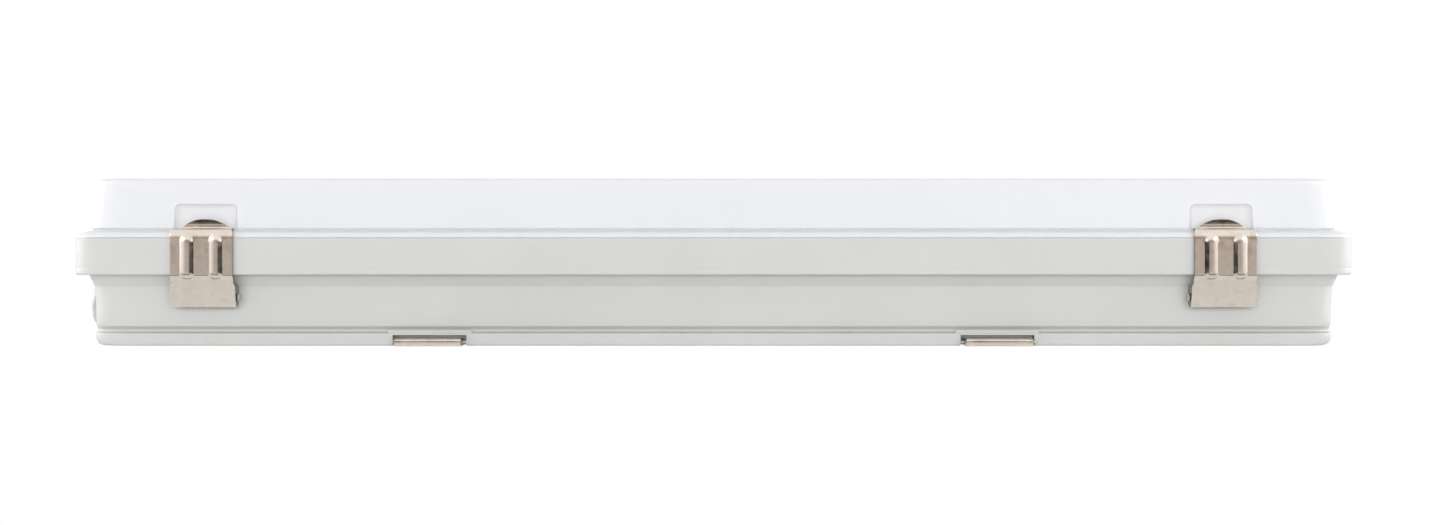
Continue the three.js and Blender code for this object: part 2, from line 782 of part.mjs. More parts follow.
// A mounting bracket: a strip across the back whose ends turn up and return over the housing's ledge.
function bracketSolid() {
  const half = bracketSheet / 2;
  const face = rimHalfWidth - bodySideInset;
  const earY = face + bracketSideReach - half;
  const tipY = face - bracketTongueReach;
  const top = bracketHeight - half;
  const path = bentPath([
    { at: point(-tipY, top) },
    { at: point(-earY, top), radius: bracketBendRadius },
    { at: point(-earY, half), radius: bracketBendRadius },
    { at: point(earY, half), radius: bracketBendRadius },
    { at: point(earY, top), radius: bracketBendRadius },
    { at: point(tipY, top) },
  ]);
  const strip = prismAlongX(sheetOutline(path, bracketSheet), bracketWidth);
  const cheeks = sides.flatMap((along) =>
    sides.map((across) => {
      const outerX = (along * bracketWidth) / 2;
      const from = [outerX, across * (face + seatGap), half];
      const to = [outerX - along * bracketSheet, across * (earY - half), bracketHeight - half];
      return box(from, to);
    }),
  );
  const slots = bracketSlotPlaces().map((y) => {
    const halfX = bracketSlotWidth / 2;
    const halfY = bracketSlotLength / 2;
    return box([-halfX, y - halfY, -cutOverrun], [halfX, y + halfY, bracketHeight]);
  });
  return cut(join([strip, ...cheeks]), slots);
}

// The holes of the tray, shared with the pieces that pass through it.
const driverHalfLength = driverLength / 2;
const screwHoleRadius = screwRadius + seatGap;
const boardRows = sides.map((side) => side * boardY);
const boardScrewPlaces = sides.map((side) => side * (boardHalfLength - boardScrewInset));
const driverScrewPlaces = sides.map((side) => driverOffset + side * (driverHalfLength - driverTabLength / 2));
const leadHoleX = boardHalfLength + leadHoleDistance;
const earthScrewPlace = { x: terminalX + earthScrewDistance, y: trayHalfWidth - earthScrewInset };

// The gear tray: white painted sheet with its long edges turned down.
function traySolid() {
  const lipInside = trayHalfWidth - traySheet;
  const lipBottom = trayTop - trayLipDepth;
  const section = [
    point(-trayHalfWidth, lipBottom),
    point(-lipInside, lipBottom),
    point(-lipInside, trayHeight),
    point(lipInside, trayHeight),
    point(lipInside, lipBottom),
    point(trayHalfWidth, lipBottom),
    point(trayHalfWidth, trayTop),
    point(-trayHalfWidth, trayTop),
  ];
  const hole = (radius, x, y) => rodAlongZ(radius, trayHeight - cutOverrun, trayTop + cutOverrun, x, y);
  const slotHalfX = turnlockHeadWidth / 2 + seatGap;
  const slotHalfY = turnlockHeadLength / 2 + seatGap;
  const slots = turnlockPlaces().map((x) =>
    box(
      [x - slotHalfX, -slotHalfY, trayHeight - cutOverrun],
      [x + slotHalfX, slotHalfY, trayTop + cutOverrun],
    ),
  );
  return cut(prismAlongX(section, 2 * trayHalfLength), [
    ...slots,
    ...boardRows.flatMap((y) => boardScrewPlaces.map((x) => hole(screwHoleRadius, x, y))),
    ...driverScrewPlaces.map((x) => hole(screwHoleRadius, x, 0)),
    hole(screwHoleRadius, terminalX, 0),
    hole(screwHoleRadius, earthScrewPlace.x, earthScrewPlace.y),
    hole(leadHoleRadius, leadHoleX, 0),
  ]);
}

// A turn-lock about its own axis, z = 0 on the tray: a shank in the post and a bar that holds the tray down.
function turnlockSolid() {
  const barTop = seatGap + turnlockHeadHeight;
  const bar = box(
    [-turnlockHeadLength / 2, -turnlockHeadWidth / 2, seatGap],
    [turnlockHeadLength / 2, turnlockHeadWidth / 2, barTop],
  );
  const grip = box(
    [-turnlockHeadLength, -turnlockGripSlot / 2, barTop - turnlockGripDepth],
    [turnlockHeadLength, turnlockGripSlot / 2, barTop + cutOverrun],
  );
  const shankBottom = -traySheet - seatGap - turnlockShankDepth;
  return join([rodAlongZ(turnlockShankRadius, shankBottom, barTop, 0, 0), bar]).subtract(grip);
}

// One light board, z = 0 on its underside: emitters in a row and the lead's connector at one end.
function boardSolid() {
  const halfWidth = boardWidth / 2;
  const board = box([-boardHalfLength, -halfWidth, 0], [boardHalfLength, halfWidth, boardThickness]);
  const row = 2 * (boardHalfLength - boardEndMargin) - connectorLength;
  const count = Math.floor(row / emitterPitch) + 1;
  const half = emitterSize / 2;
  const emitters = Array.from({ length: count }, (_, i) => {
    const x = -boardHalfLength + boardEndMargin + i * emitterPitch;
    return box([x - half, -half, boardThickness / 2], [x + half, half, boardThickness + emitterHeight]);
  });
  const connectorStart = boardHalfLength - connectorLength;
  const connectorTop = boardThickness + connectorHeight;
  const connector = box(
    [connectorStart, connectorSide, boardThickness / 2],
    [boardHalfLength, connectorSide + connectorWidth, connectorTop],
  );
  const holes = boardScrewPlaces.map((x) =>
    rodAlongZ(screwHoleRadius, -cutOverrun, boardThickness + cutOverrun, x, 0),
  );
  return cut(join([board, ...emitters, connector]), holes);
}

// A pan-head screw with z = 0 under its head.
function screwSolid(grip) {
  const shank = rodAlongZ(screwRadius, -grip - screwTailLength, screwHeadHeight / 2, 0, 0);
  const head = rodAlongZ(screwHeadRadius, 0, screwHeadHeight, 0, 0);
  const halfSlot = screwRecessWidth / 2;
  const slot = box(
    [-screwHeadRadius, -halfSlot, screwHeadHeight - screwRecessDepth],
    [screwHeadRadius, halfSlot, screwHeadHeight + cutOverrun],
  );
  return join([shank, head]).subtract(slot);
}

// The driver, z = 0 on top of its tabs: a chamfered case with a screw tab and a wire socket at each end.
function driverSolid() {
  const halfBody = driverHalfLength - driverTabLength;
  const halfWidth = driverWidth / 2;
  const section = [
    point(-halfWidth + driverEdgeChamfer, -driverHeight),
    point(halfWidth - driverEdgeChamfer, -driverHeight),
    point(halfWidth, -driverHeight + driverEdgeChamfer),
    point(halfWidth, -driverEdgeChamfer),
    point(halfWidth - driverEdgeChamfer, 0),
    point(-halfWidth + driverEdgeChamfer, 0),
    point(-halfWidth, -driverEdgeChamfer),
    point(-halfWidth, -driverHeight + driverEdgeChamfer),
  ];
  const tabs = sides.map((side) =>
    box(
      [side * (halfBody - driverEdgeChamfer), -halfWidth / 2, -driverTabThickness],
      [side * driverHalfLength, halfWidth / 2, 0],
    ),
  );
  const socketTop = (driverSocketHeight - driverHeight) / 2;
  const sockets = sides.map((side) =>
    box(
      [side * (halfBody - driverSocketDepth), -driverSocketWidth / 2, socketTop - driverSocketHeight],
      [side * (halfBody + cutOverrun), driverSocketWidth / 2, socketTop],
    ),
  );
  const holes = driverScrewPlaces.map((x) =>
    rodAlongZ(screwHoleRadius, -driverTabThickness - cutOverrun, cutOverrun, x - driverOffset, 0),
  );
  return cut(join([prismAlongX(section, 2 * halfBody), ...tabs]), [...sockets, ...holes]);
}

// The terminal block, z = 0 on top: three ways, each open at both ends, with a screw well below.
const terminalWays = [-terminalPitch, 0, terminalPitch];

function terminalSolid() {
  const halfX = terminalLength / 2;
  const block = box([-halfX, -terminalWidth / 2, -terminalHeight], [halfX, terminalWidth / 2, 0]);
  const entryFloor = halfX - terminalEntryDepth;
  const entryMouth = halfX + cutOverrun;
  const entries = terminalWays.flatMap((y) => [
    rodAlongX(terminalEntryRadius, entryFloor, entryMouth, y, -terminalEntryDrop, 8),
    rodAlongX(terminalEntryRadius, -entryMouth, -entryFloor, y, -terminalEntryDrop, 8),
  ]);
  const wellTop = terminalScrewWellDepth - terminalHeight;
  const wells = terminalWays.map((y) =>
    rodAlongZ(terminalScrewWellRadius, -terminalHeight - cutOverrun, wellTop, 0, y, 8),
  );
  const screwHole = rodAlongZ(screwHoleRadius, -screwTailLength - seatGap, cutOverrun, 0, 0);
  return cut(block, [...entries, ...wells, screwHole]);
}

// A wire along a smooth route.
function wireSolid(route) {
  const curve = new THREE.CatmullRomCurve3(route, false, "centripetal");
  const steps = Math.ceil(curve.getLength() / (wireStepDiameters * 2 * wireRadius));
  const lastAngle = 2 * Math.PI * (1 - 1 / wireSides);
  const section = new THREE.Shape(arc(point(0, 0), wireRadius, 0, lastAngle, wireSides - 1));
  return toSolid(new THREE.ExtrudeGeometry(section, { steps, extrudePath: curve, bevelEnabled: false }));
}

// Where the wires start and end.
const traySeat = trayHeight - seatGap;
const terminalZ = traySeat - terminalEntryDrop;
const terminalEnd = terminalX + terminalLength / 2;
const socketZ = traySeat - driverHeight / 2;
const socketReach = driverHalfLength - driverTabLength - driverSocketDepth + seatGap;
const connectorZ = boardTop + connectorHeight / 2;
const connectorY = connectorSide + connectorWidth / 2;

function place(x, y, z) {
  return new THREE.Vector3(x, y, z);
}

function terminalWire(y) {
  const inside = terminalEnd - terminalEntryDepth + seatGap;
  return [place(inside, y, terminalZ), place(terminalEnd + wireStub, y, terminalZ)];
}

// A mains wire from one way of the terminal block to the driver's near socket.
function mainsWire(terminalY, socketY) {
  const socketX = driverOffset - socketReach;
  const middleX = (terminalEnd + socketX) / 2;
  return wireSolid([
    ...terminalWire(terminalY),
    place(middleX, (terminalY + socketY) / 2, socketZ - wireSlack),
    place(socketX - driverSocketDepth - wireStub, socketY, socketZ),
    place(socketX, socketY, socketZ),
  ]);
}

// The earth wire, with a ring lug that the earth screw passes through.
function earthWire() {
  const { x, y } = earthScrewPlace;
  const lugZ = traySeat - earthLugThickness / 2;
  const lug = rodAlongZ(earthLugRadius, traySeat - earthLugThickness, traySeat, x, y);
  const eye = rodAlongZ(screwHoleRadius, traySeat - earthLugThickness - cutOverrun, trayTop, x, y);
  const tailX = x - earthLugRadius - wireStub;
  const wire = wireSolid([
    ...terminalWire(terminalPitch),
    place((terminalEnd + x) / 2, (terminalPitch + y) / 2, terminalZ - wireSlack),
    place(tailX, y, traySeat - wireStub / 2),
    place(x - earthLugRadius + wireRadius, y, lugZ - wireRadius / 2),
  ]);
  const lowCorner = [x - 2 * earthLugRadius, y - earthLugRadius, traySeat];
  const aboveTheLug = box(lowCorner, [x, y + earthLugRadius, trayTop]);
  return cut(wire.add(lug), [eye, aboveTheLug]);
}

// A lead from the driver's far socket, up through the tray's hole and back to a board's connector.
function boardLead(sideY, connectorEndY) {
  const socketX = driverOffset + socketReach;
  const socketY = sideY * wireSpacing;
  const holeY = (sideY * wireSpacing) / 2;
  const loopX = leadHoleX + leadHoleRadius;
  return wireSolid([
    place(socketX, socketY, socketZ),
    place(socketX + driverSocketDepth + wireStub, socketY, socketZ),
    place((socketX + leadHoleX) / 2, socketY, socketZ - wireSlack),
    place(leadHoleX, holeY, traySeat - wireStub / 2),
    place(leadHoleX, holeY, boardTop),
    place(loopX, (holeY + connectorEndY) / 2, connectorZ),
    place(boardHalfLength + wireStub / 2, connectorEndY, connectorZ),
    place(boardHalfLength + seatGap, connectorEndY, connectorZ),
  ]);
}

// The link between the two boards, outside the leads.
function boardLink(frontY, backY) {
  const loopX = leadHoleX + leadHoleRadius + wireStub;
  const startX = boardHalfLength + seatGap;
  return wireSolid([
    place(startX, frontY, connectorZ),
    place(startX + wireStub / 2, frontY, connectorZ),
    place(loopX, frontY / 2, connectorZ),
    place(loopX, backY / 2, connectorZ),
    place(startX + wireStub / 2, backY, connectorZ),
    place(startX, backY, connectorZ),
  ]);
}

// A cable entry's pieces lie along X, with x = 0 on the housing's pad and +X outwards.
const flangeStart = seatGap + washerThickness + seatGap;
const glandFlangeEnd = flangeStart + glandFlangeThickness;
const glandCollarEnd = glandFlangeEnd + glandNutLength - glandNutFace;
const glandSleeveStart = glandFlangeEnd - glandFlangeThickness / 2;
const glandSleeveRadius = glandCollarRadius - glandCollarWall;
const threadRadius = entryHoleRadius - seatGap;
const entryWall = entryPadStandOff + entryPadInnerDepth;
const locknutStart = -entryWall - seatGap;
const threadEnd = locknutStart - locknutThickness - threadTail;

function washerSolid() {
  const outer = rodAlongX(plugHeadRadius - seatGap, seatGap, seatGap + washerThickness, 0, 0);
  return outer.subtract(rodAlongX(entryHoleRadius, -cutOverrun, glandFlangeEnd, 0, 0));
}

function locknutSolid() {
  const nut = hexAlongX(locknutAcross, locknutStart - locknutThickness, locknutStart, 0, 0);
  return nut.subtract(rodAlongX(entryHoleRadius, threadEnd, 0, 0, 0));
}

function glandBodySolid() {
  const flange = hexAlongX(glandFlangeAcross, flangeStart, glandFlangeEnd, 0, 0);
  const thread = rodAlongX(threadRadius, threadEnd, glandFlangeEnd, 0, 0);
  const collar = rodAlongX(glandCollarRadius, flangeStart, glandCollarEnd, 0, 0);
  return cut(join([flange, thread, collar]), [
    rodAlongX(glandBoreRadius, threadEnd - cutOverrun, glandCollarEnd + cutOverrun, 0, 0),
    rodAlongX(glandSleeveRadius, glandSleeveStart, glandCollarEnd + cutOverrun, 0, 0),
  ]);
}

function glandSleeveSolid() {
  const sleeve = rodAlongX(glandSleeveRadius - seatGap, glandSleeveStart + seatGap, glandCollarEnd, 0, 0);
  return sleeve.subtract(rodAlongX(glandBoreRadius, glandSleeveStart, glandCollarEnd + cutOverrun, 0, 0));
}

function glandNutSolid() {
  const start = glandFlangeEnd + seatGap;
  const nut = hexAlongX(glandNutAcross, start, start + glandNutLength, 0, 0);
  return cut(nut, [
    rodAlongX(glandCollarRadius + seatGap, start - cutOverrun, glandCollarEnd + seatGap, 0, 0),
    rodAlongX(glandBoreRadius, start, start + glandNutLength + cutOverrun, 0, 0),
  ]);
}

function plugSolid() {
  const headEnd = flangeStart + plugHeadThickness;
  const head = rodAlongX(plugHeadRadius, flangeStart, headEnd, 0, 0);
  const thread = rodAlongX(threadRadius, threadEnd, headEnd - plugHeadThickness / 2, 0, 0);
  const slot = box(
    [headEnd - plugCoinSlotDepth, -plugHeadRadius, -plugCoinSlotWidth / 2],
    [headEnd + cutOverrun, plugHeadRadius, plugCoinSlotWidth / 2],
  );
  const bore = rodAlongX(plugBoreRadius, threadEnd - cutOverrun, flangeStart, 0, 0);
  return cut(join([head, thread]), [slot, bore]);
}

// A group placed in the fixture, turned half round when it faces the other way.
function addGroup(x, y, z, turned) {
  const group = new THREE.Group();
  group.position.set(x, y, z);
  group.rotation.z = turned ? Math.PI : 0;
  fixture.add(group);
  return group;
}

function sideName(across, x) {
  return `${across < 0 ? "front" : "back"}_${x < 0 ? "left" : "right"}`;
}

// Shell
addPiece("housing", housingSolid(), housingPlastic);
addPiece("seal", sealSolid(), sealFoam);
addPiece("lens", lensSolid(), lensPlastic);

// Latches on their pins
for (const { across, x } of latchPlaces()) {
  const hinge = addGroup(x, across * (rimHalfWidth - pivotInset), pivotHeight, across < 0);
  addPiece(`latch_${sideName(across, x)}`, latchSolid(), stainless, hinge);
  addPiece(`latch_pin_${sideName(across, x)}`, pinSolid(), zincSteel, hinge);
}

// Brackets
for (const x of bracketPlaces()) {
  addPiece(`bracket_${x < 0 ? "left" : "right"}`, bracketSolid(), stainless).position.x = x;
}

// Gear tray and what it carries
addPiece("gear_tray", traySolid(), whitePaint);
for (const x of turnlockPlaces()) {
  addPiece(`turnlock_${x < 0 ? "left" : "right"}`, turnlockSolid(), whiteNylon).position.set(x, 0, trayTop);
}
for (const y of boardRows) {
  const row = y < 0 ? "front" : "back";
  addPiece(`light_board_${row}`, boardSolid(), boardWhite).position.set(0, y, boardBottom);
  for (const x of boardScrewPlaces) {
    const screw = screwSolid(boardThickness + traySheet);
    addPiece(`board_screw_${sideName(y, x)}`, screw, zincSteel).position.set(x, y, boardTop + seatGap);
  }
}
addPiece("driver", driverSolid(), whiteNylon).position.set(driverOffset, 0, traySeat);
for (const x of driverScrewPlaces) {
  const name = `driver_screw_${x < driverOffset ? "left" : "right"}`;
  addPiece(name, screwSolid(traySheet + driverTabThickness), zincSteel).position.set(x, 0, trayTop + seatGap);
}
addPiece("terminal_block", terminalSolid(), whiteNylon).position.set(terminalX, 0, traySeat);
const screwSeat = trayTop + seatGap;
addPiece("terminal_screw", screwSolid(traySheet), zincSteel).position.set(terminalX, 0, screwSeat);
const earthScrew = addPiece("earth_screw", screwSolid(traySheet), zincSteel);
earthScrew.position.set(earthScrewPlace.x, earthScrewPlace.y, screwSeat);

// Wires
const [frontSocketY, backSocketY] = boardRows.map((y) => y + connectorY);
const wayOffset = wireSpacing / 2;
const wires = {
  live_wire: [mainsWire(-terminalPitch, -wireSpacing), wireColours.brown],
  neutral_wire: [mainsWire(0, wireSpacing), wireColours.blue],
  earth_wire: [earthWire(), wireColours.green],
  board_lead_front: [boardLead(-1, frontSocketY + wayOffset), wireColours.red],
  board_lead_back: [boardLead(1, backSocketY - wayOffset), wireColours.black],
  board_link: [boardLink(frontSocketY - wayOffset, backSocketY + wayOffset), wireColours.blue],
};
for (const [name, [solid, color]] of Object.entries(wires)) {
  addPiece(name, solid, { color, roughness: 0.5, metalness: 0 });
}

// Cable gland at the left end, blanking plug at the right end
const glandEnd = addGroup(-entryPadFace, 0, entryHeight, true);
addPiece("gland_washer", washerSolid(), sealFoam, glandEnd);
addPiece("gland_body", glandBodySolid(), greyNylon, glandEnd);
addPiece("gland_sleeve", glandSleeveSolid(), sealFoam, glandEnd);
addPiece("gland_nut", glandNutSolid(), greyNylon, glandEnd);
addPiece("gland_locknut", locknutSolid(), greyNylon, glandEnd);
const plugEnd = addGroup(entryPadFace, 0, entryHeight, false);
addPiece("plug_washer", washerSolid(), sealFoam, plugEnd);
addPiece("blanking_plug", plugSolid(), greyNylon, plugEnd);
addPiece("plug_locknut", locknutSolid(), greyNylon, plugEnd);

export default fixture;
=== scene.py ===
# Vapor tight light fixture, two feet long, lying on its back with the lens up.
# The file goes through the studio, housing, lens, latches, pins, brackets, gland and plug, and inner gear.
# Its frame is the CAD's, in metres: +X along the fixture, -Y towards the front latches, +Z up to the lens.
# Sizes are in metres too, or in millimetres where a comment or a function says so.
import json
import math

import bmesh
import bpy
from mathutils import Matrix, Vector


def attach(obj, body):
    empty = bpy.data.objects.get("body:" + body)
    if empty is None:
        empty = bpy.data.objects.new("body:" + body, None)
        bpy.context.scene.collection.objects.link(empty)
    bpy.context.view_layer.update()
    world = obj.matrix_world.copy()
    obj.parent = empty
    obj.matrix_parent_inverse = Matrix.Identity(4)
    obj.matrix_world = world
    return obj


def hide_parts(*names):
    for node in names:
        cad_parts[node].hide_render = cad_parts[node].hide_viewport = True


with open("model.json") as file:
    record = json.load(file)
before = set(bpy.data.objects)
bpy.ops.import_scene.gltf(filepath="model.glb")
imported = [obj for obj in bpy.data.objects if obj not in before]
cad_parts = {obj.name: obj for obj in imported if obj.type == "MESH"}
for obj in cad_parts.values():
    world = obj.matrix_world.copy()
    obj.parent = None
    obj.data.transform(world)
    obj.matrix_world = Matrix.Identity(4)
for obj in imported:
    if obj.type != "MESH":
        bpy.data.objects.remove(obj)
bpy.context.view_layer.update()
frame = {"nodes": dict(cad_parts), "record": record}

# Studio: a plain white table under a white sky, seen square from the long side at the height of the rim.
# Metal mirrors a warm, darker room in front of it, as it does on a photographer's table.
# A soft box off each end turns the fixture's rounded ends bright, and a long one stands in front and behind.
camera_distance = 1.093
camera_height = 0.0428
photo_width = 1445
focal_pixels = 2026
sensor_width = 36.0
left_shift_pixels = 9.0

bpy.ops.object.camera_add(location=(0, -camera_distance, camera_height), rotation=(math.radians(90), 0, 0))
camera = bpy.context.object
camera.name = "camera"
camera.data.sensor_width = sensor_width
camera.data.lens = sensor_width * focal_pixels / photo_width
camera.data.shift_x = left_shift_pixels / photo_width
bpy.context.scene.camera = camera
bpy.context.scene.view_settings.view_transform = "Standard"
bpy.context.scene.view_settings.look = "None"


def add_node(tree, kind, place, **inputs):
    """Puts a node in a tree and sets its sockets by name; underscores stand for spaces."""
    node = tree.nodes.new(kind)
    node.location = place
    for name, value in inputs.items():
        node.inputs[name.replace("_", " ")].default_value = value
    return node


def join_sockets(tree, start, end):
    tree.links.new(start, end)


def ramp_of(tree, place, share, stops):
    """The colour of a ramp, given as (position, colour) pairs, at a share from 0 to 1."""
    node = add_node(tree, "ShaderNodeValToRGB", place)
    join_sockets(tree, share, node.inputs[0])
    ramp = node.color_ramp
    while len(ramp.elements) > 1:
        ramp.elements.remove(ramp.elements[-1])
    ramp.elements[0].position, ramp.elements[0].color = stops[0][0], (*stops[0][1], 1)
    for position, colour in stops[1:]:
        ramp.elements.new(position).color = (*colour, 1)
    return node.outputs[0]


def share_of(tree, place, mask, low, high, start=0.0, end=1.0):
    """Maps a mask from its own range, start to end, to a range of values."""
    ends = {"From_Min": start, "From_Max": end, "To_Min": low, "To_Max": high}
    node = add_node(tree, "ShaderNodeMapRange", place, **ends)
    join_sockets(tree, mask, node.inputs["Value"])
    return node.outputs[0]


def mix_by(tree, kind, place, mask, *ends):
    """Mixes two shaders or colours by a mask; a colour may be given as plain numbers."""
    node = add_node(tree, "ShaderNodeMix" + kind, place)
    join_sockets(tree, mask, node.inputs[0])
    for socket, end in zip(node.inputs[1:], ends):
        if isinstance(end, tuple):
            socket.default_value = (*end, 1)
        else:
            join_sockets(tree, end, socket)
    return node.outputs[0]


def grey(value):
    return (value, value, value)


sky = bpy.data.worlds.new("white studio")
bpy.context.scene.world = sky
sky.use_nodes = True
sky_tree = sky.node_tree
sky_tree.nodes.clear()
direction = add_node(sky_tree, "ShaderNodeTexCoord", (-1400, 0))
split = add_node(sky_tree, "ShaderNodeSeparateXYZ", (-1200, 0))
join_sockets(sky_tree, direction.outputs["Generated"], split.inputs[0])
# how far up and how far back a ray points, from 0 to 1
height_share = share_of(sky_tree, (-1000, 200), split.outputs["Z"], 0.0, 1.0, -1.0, 1.0)
back_share = share_of(sky_tree, (-1000, -100), split.outputs["Y"], 0.0, 1.0, -1.0, 1.0)
sky_stops = [(0.0, grey(0.55)), (0.5, grey(0.6)), (0.75, grey(0.58)), (1.0, grey(0.56))]
room_stops = [
    (0.0, (0.44, 0.34, 0.28)), (0.025, (0.46, 0.36, 0.30)), (0.06, (0.92, 0.88, 0.84)),
    (0.16, grey(1.6)), (0.5, grey(1.3)),
]
overhead_stops = [(0.0, grey(0.0)), (0.64, grey(0.0)), (0.8, grey(1.0))]
overhead_glow, backdrop_glow = grey(1.25), grey(1.05)
soft_sky = ramp_of(sky_tree, (-800, 200), height_share, sky_stops)
room = ramp_of(sky_tree, (-800, -100), back_share, room_stops)
overhead = ramp_of(sky_tree, (-800, -350), height_share, overhead_stops)
room = mix_by(sky_tree, "RGB", (-550, -200), overhead, room, overhead_glow)
ray = add_node(sky_tree, "ShaderNodeLightPath", (-800, 500))
seen = mix_by(sky_tree, "RGB", (-350, 0), ray.outputs["Is Glossy Ray"], soft_sky, room)
seen = mix_by(sky_tree, "RGB", (-150, 0), ray.outputs["Is Camera Ray"], seen, backdrop_glow)
sky_light = add_node(sky_tree, "ShaderNodeBackground", (50, 0))
join_sockets(sky_tree, seen, sky_light.inputs[0])
sky_out = add_node(sky_tree, "ShaderNodeOutputWorld", (250, 0))
join_sockets(sky_tree, sky_light.outputs[0], sky_out.inputs[0])

# the table is matt for what it lights, plain white where it is seen, and clear from below
table_size = 12.0
table_gap = 0.0004
table_albedo = 0.9
table_glow = 1.0
bpy.ops.mesh.primitive_plane_add(size=table_size, location=(0, 0, -table_gap))
table = bpy.context.object
table.name = "table"
table_paint = bpy.data.materials.new("white table")
table_paint.use_nodes = True
table_tree = table_paint.node_tree
table_tree.nodes.clear()
table_ray = add_node(table_tree, "ShaderNodeLightPath", (-600, 300))
table_seen = add_node(table_tree, "ShaderNodeMath", (-400, 300))
table_seen.operation = "MAXIMUM"
join_sockets(table_tree, table_ray.outputs["Is Camera Ray"], table_seen.inputs[0])
join_sockets(table_tree, table_ray.outputs["Is Glossy Ray"], table_seen.inputs[1])
table_matt = add_node(table_tree, "ShaderNodeBsdfDiffuse", (-400, 100), Color=(*grey(table_albedo), 1))
table_white = add_node(table_tree, "ShaderNodeEmission", (-400, -100), Strength=table_glow)
table_shaders = table_matt.outputs[0], table_white.outputs[0]
table_top = mix_by(table_tree, "Shader", (-150, 100), table_seen.outputs[0], *table_shaders)
table_side = add_node(table_tree, "ShaderNodeNewGeometry", (-400, 500))
table_clear = add_node(table_tree, "ShaderNodeBsdfTransparent", (-150, -100))
from_below = table_side.outputs["Backfacing"]
table_look = mix_by(table_tree, "Shader", (50, 100), from_below, table_top, table_clear.outputs[0])
table_out = add_node(table_tree, "ShaderNodeOutputMaterial", (250, 100))
join_sockets(table_tree, table_look, table_out.inputs["Surface"])
table.data.materials.append(table_paint)


def soft_box(name, spot, aim, size, power, in_gloss):
    """A soft box at a spot, turned to what it lights. No camera sees it."""
    turn = (Vector(aim) - Vector(spot)).to_track_quat("-Z", "Y").to_euler()
    bpy.ops.object.light_add(type="AREA", location=spot, rotation=turn)
    box = bpy.context.object
    box.name = name
    box.data.shape = "RECTANGLE"
    box.data.size, box.data.size_y = size
    box.data.energy = power
    box.visible_camera = False
    box.visible_glossy = in_gloss


both_ends = ((-1, "left"), (1, "right"))
end_box_out, end_box_back, end_box_height = 1.95, 0.5, 0.45
end_box_size, end_box_power = (1.3, 1.0), 18.0
end_aim_out = 0.25
long_box_away, long_box_size = 3.2, (3.2, 1.0)
aim_height = 0.04
for along, name in both_ends:
    spot = (along * end_box_out, end_box_back, end_box_height)
    aim = (along * end_aim_out, 0, aim_height)
    soft_box("soft_box_" + name, spot, aim, end_box_size, end_box_power, True)
long_boxes = ((-1, "front", 0.45, 68.0), (1, "back", 0.6, 66.0))
for side, name, height, power in long_boxes:
    spot = (0, side * long_box_away, height)
    soft_box("soft_box_" + name, spot, (0, 0, aim_height), long_box_size, power, False)


def gloss_card(name, spot, turn, size, paint):
    """A card that shows only in gloss."""
    bpy.ops.mesh.primitive_plane_add(size=1, location=spot, rotation=turn)
    flag = bpy.context.object
    flag.name = name
    flag.scale = (*size, 1)
    flag.data.materials.append(paint)
    flag.visible_camera = flag.visible_diffuse = flag.visible_shadow = flag.visible_transmission = False


# a dark card where the photographer stands, and a fin towards the fixture, for the dark flanks of the ribs
dark_paint = bpy.data.materials.new("dark card")
dark_paint.use_nodes = True
dark_shader = dark_paint.node_tree.nodes["Principled BSDF"]
dark_shader.inputs["Base Color"].default_value = (0.02, 0.02, 0.014, 1)
dark_shader.inputs["Specular IOR Level"].default_value = 0.0
upright = math.radians(90)
dark_card_away, dark_card_width = 0.42, 0.38
dark_fin_away, dark_fin_length = 0.26, 0.32
dark_middle, dark_height = 0.055, 0.13
card_spot, card_size = (0, -dark_card_away, dark_middle), (dark_card_width, dark_height)
gloss_card("dark_card", card_spot, (upright, 0, 0), card_size, dark_paint)
fin_spot, fin_size = (0, -dark_fin_away, dark_middle), (dark_fin_length, dark_height)
gloss_card("dark_fin", fin_spot, (upright, 0, upright), fin_size, dark_paint)

# a dark strip on the table before each latch, which its tongue mirrors
# and a white card off to each side, for the glints over the ribs
strip_out, strip_away, strip_rise, strip_size = 0.335, 0.225, 0.0004, (0.23, 0.17)
white_out, white_away, white_height, white_size = 1.05, 0.72, 0.72, (0.5, 0.5)
latch_aim_out, latch_aim_away, latch_aim_height = 0.26, 0.065, 0.05
white_paint = bpy.data.materials.new("white card")
white_paint.use_nodes = True
white_shader = white_paint.node_tree.nodes["Principled BSDF"]
white_shader.inputs["Emission Color"].default_value = (1, 1, 1, 1)
white_shader.inputs["Emission Strength"].default_value = 3.5
for along, name in both_ends:
    spot = (along * strip_out, -strip_away, strip_rise)
    gloss_card("dark_strip_" + name, spot, (0, 0, 0), strip_size, dark_paint)
    spot = Vector((along * white_out, -white_away, white_height))
    aim = Vector((along * latch_aim_out, -latch_aim_away, latch_aim_height))
    turn = (aim - spot).to_track_quat("Z", "Y").to_euler()
    gloss_card("white_card_" + name, spot, turn, white_size, white_paint)

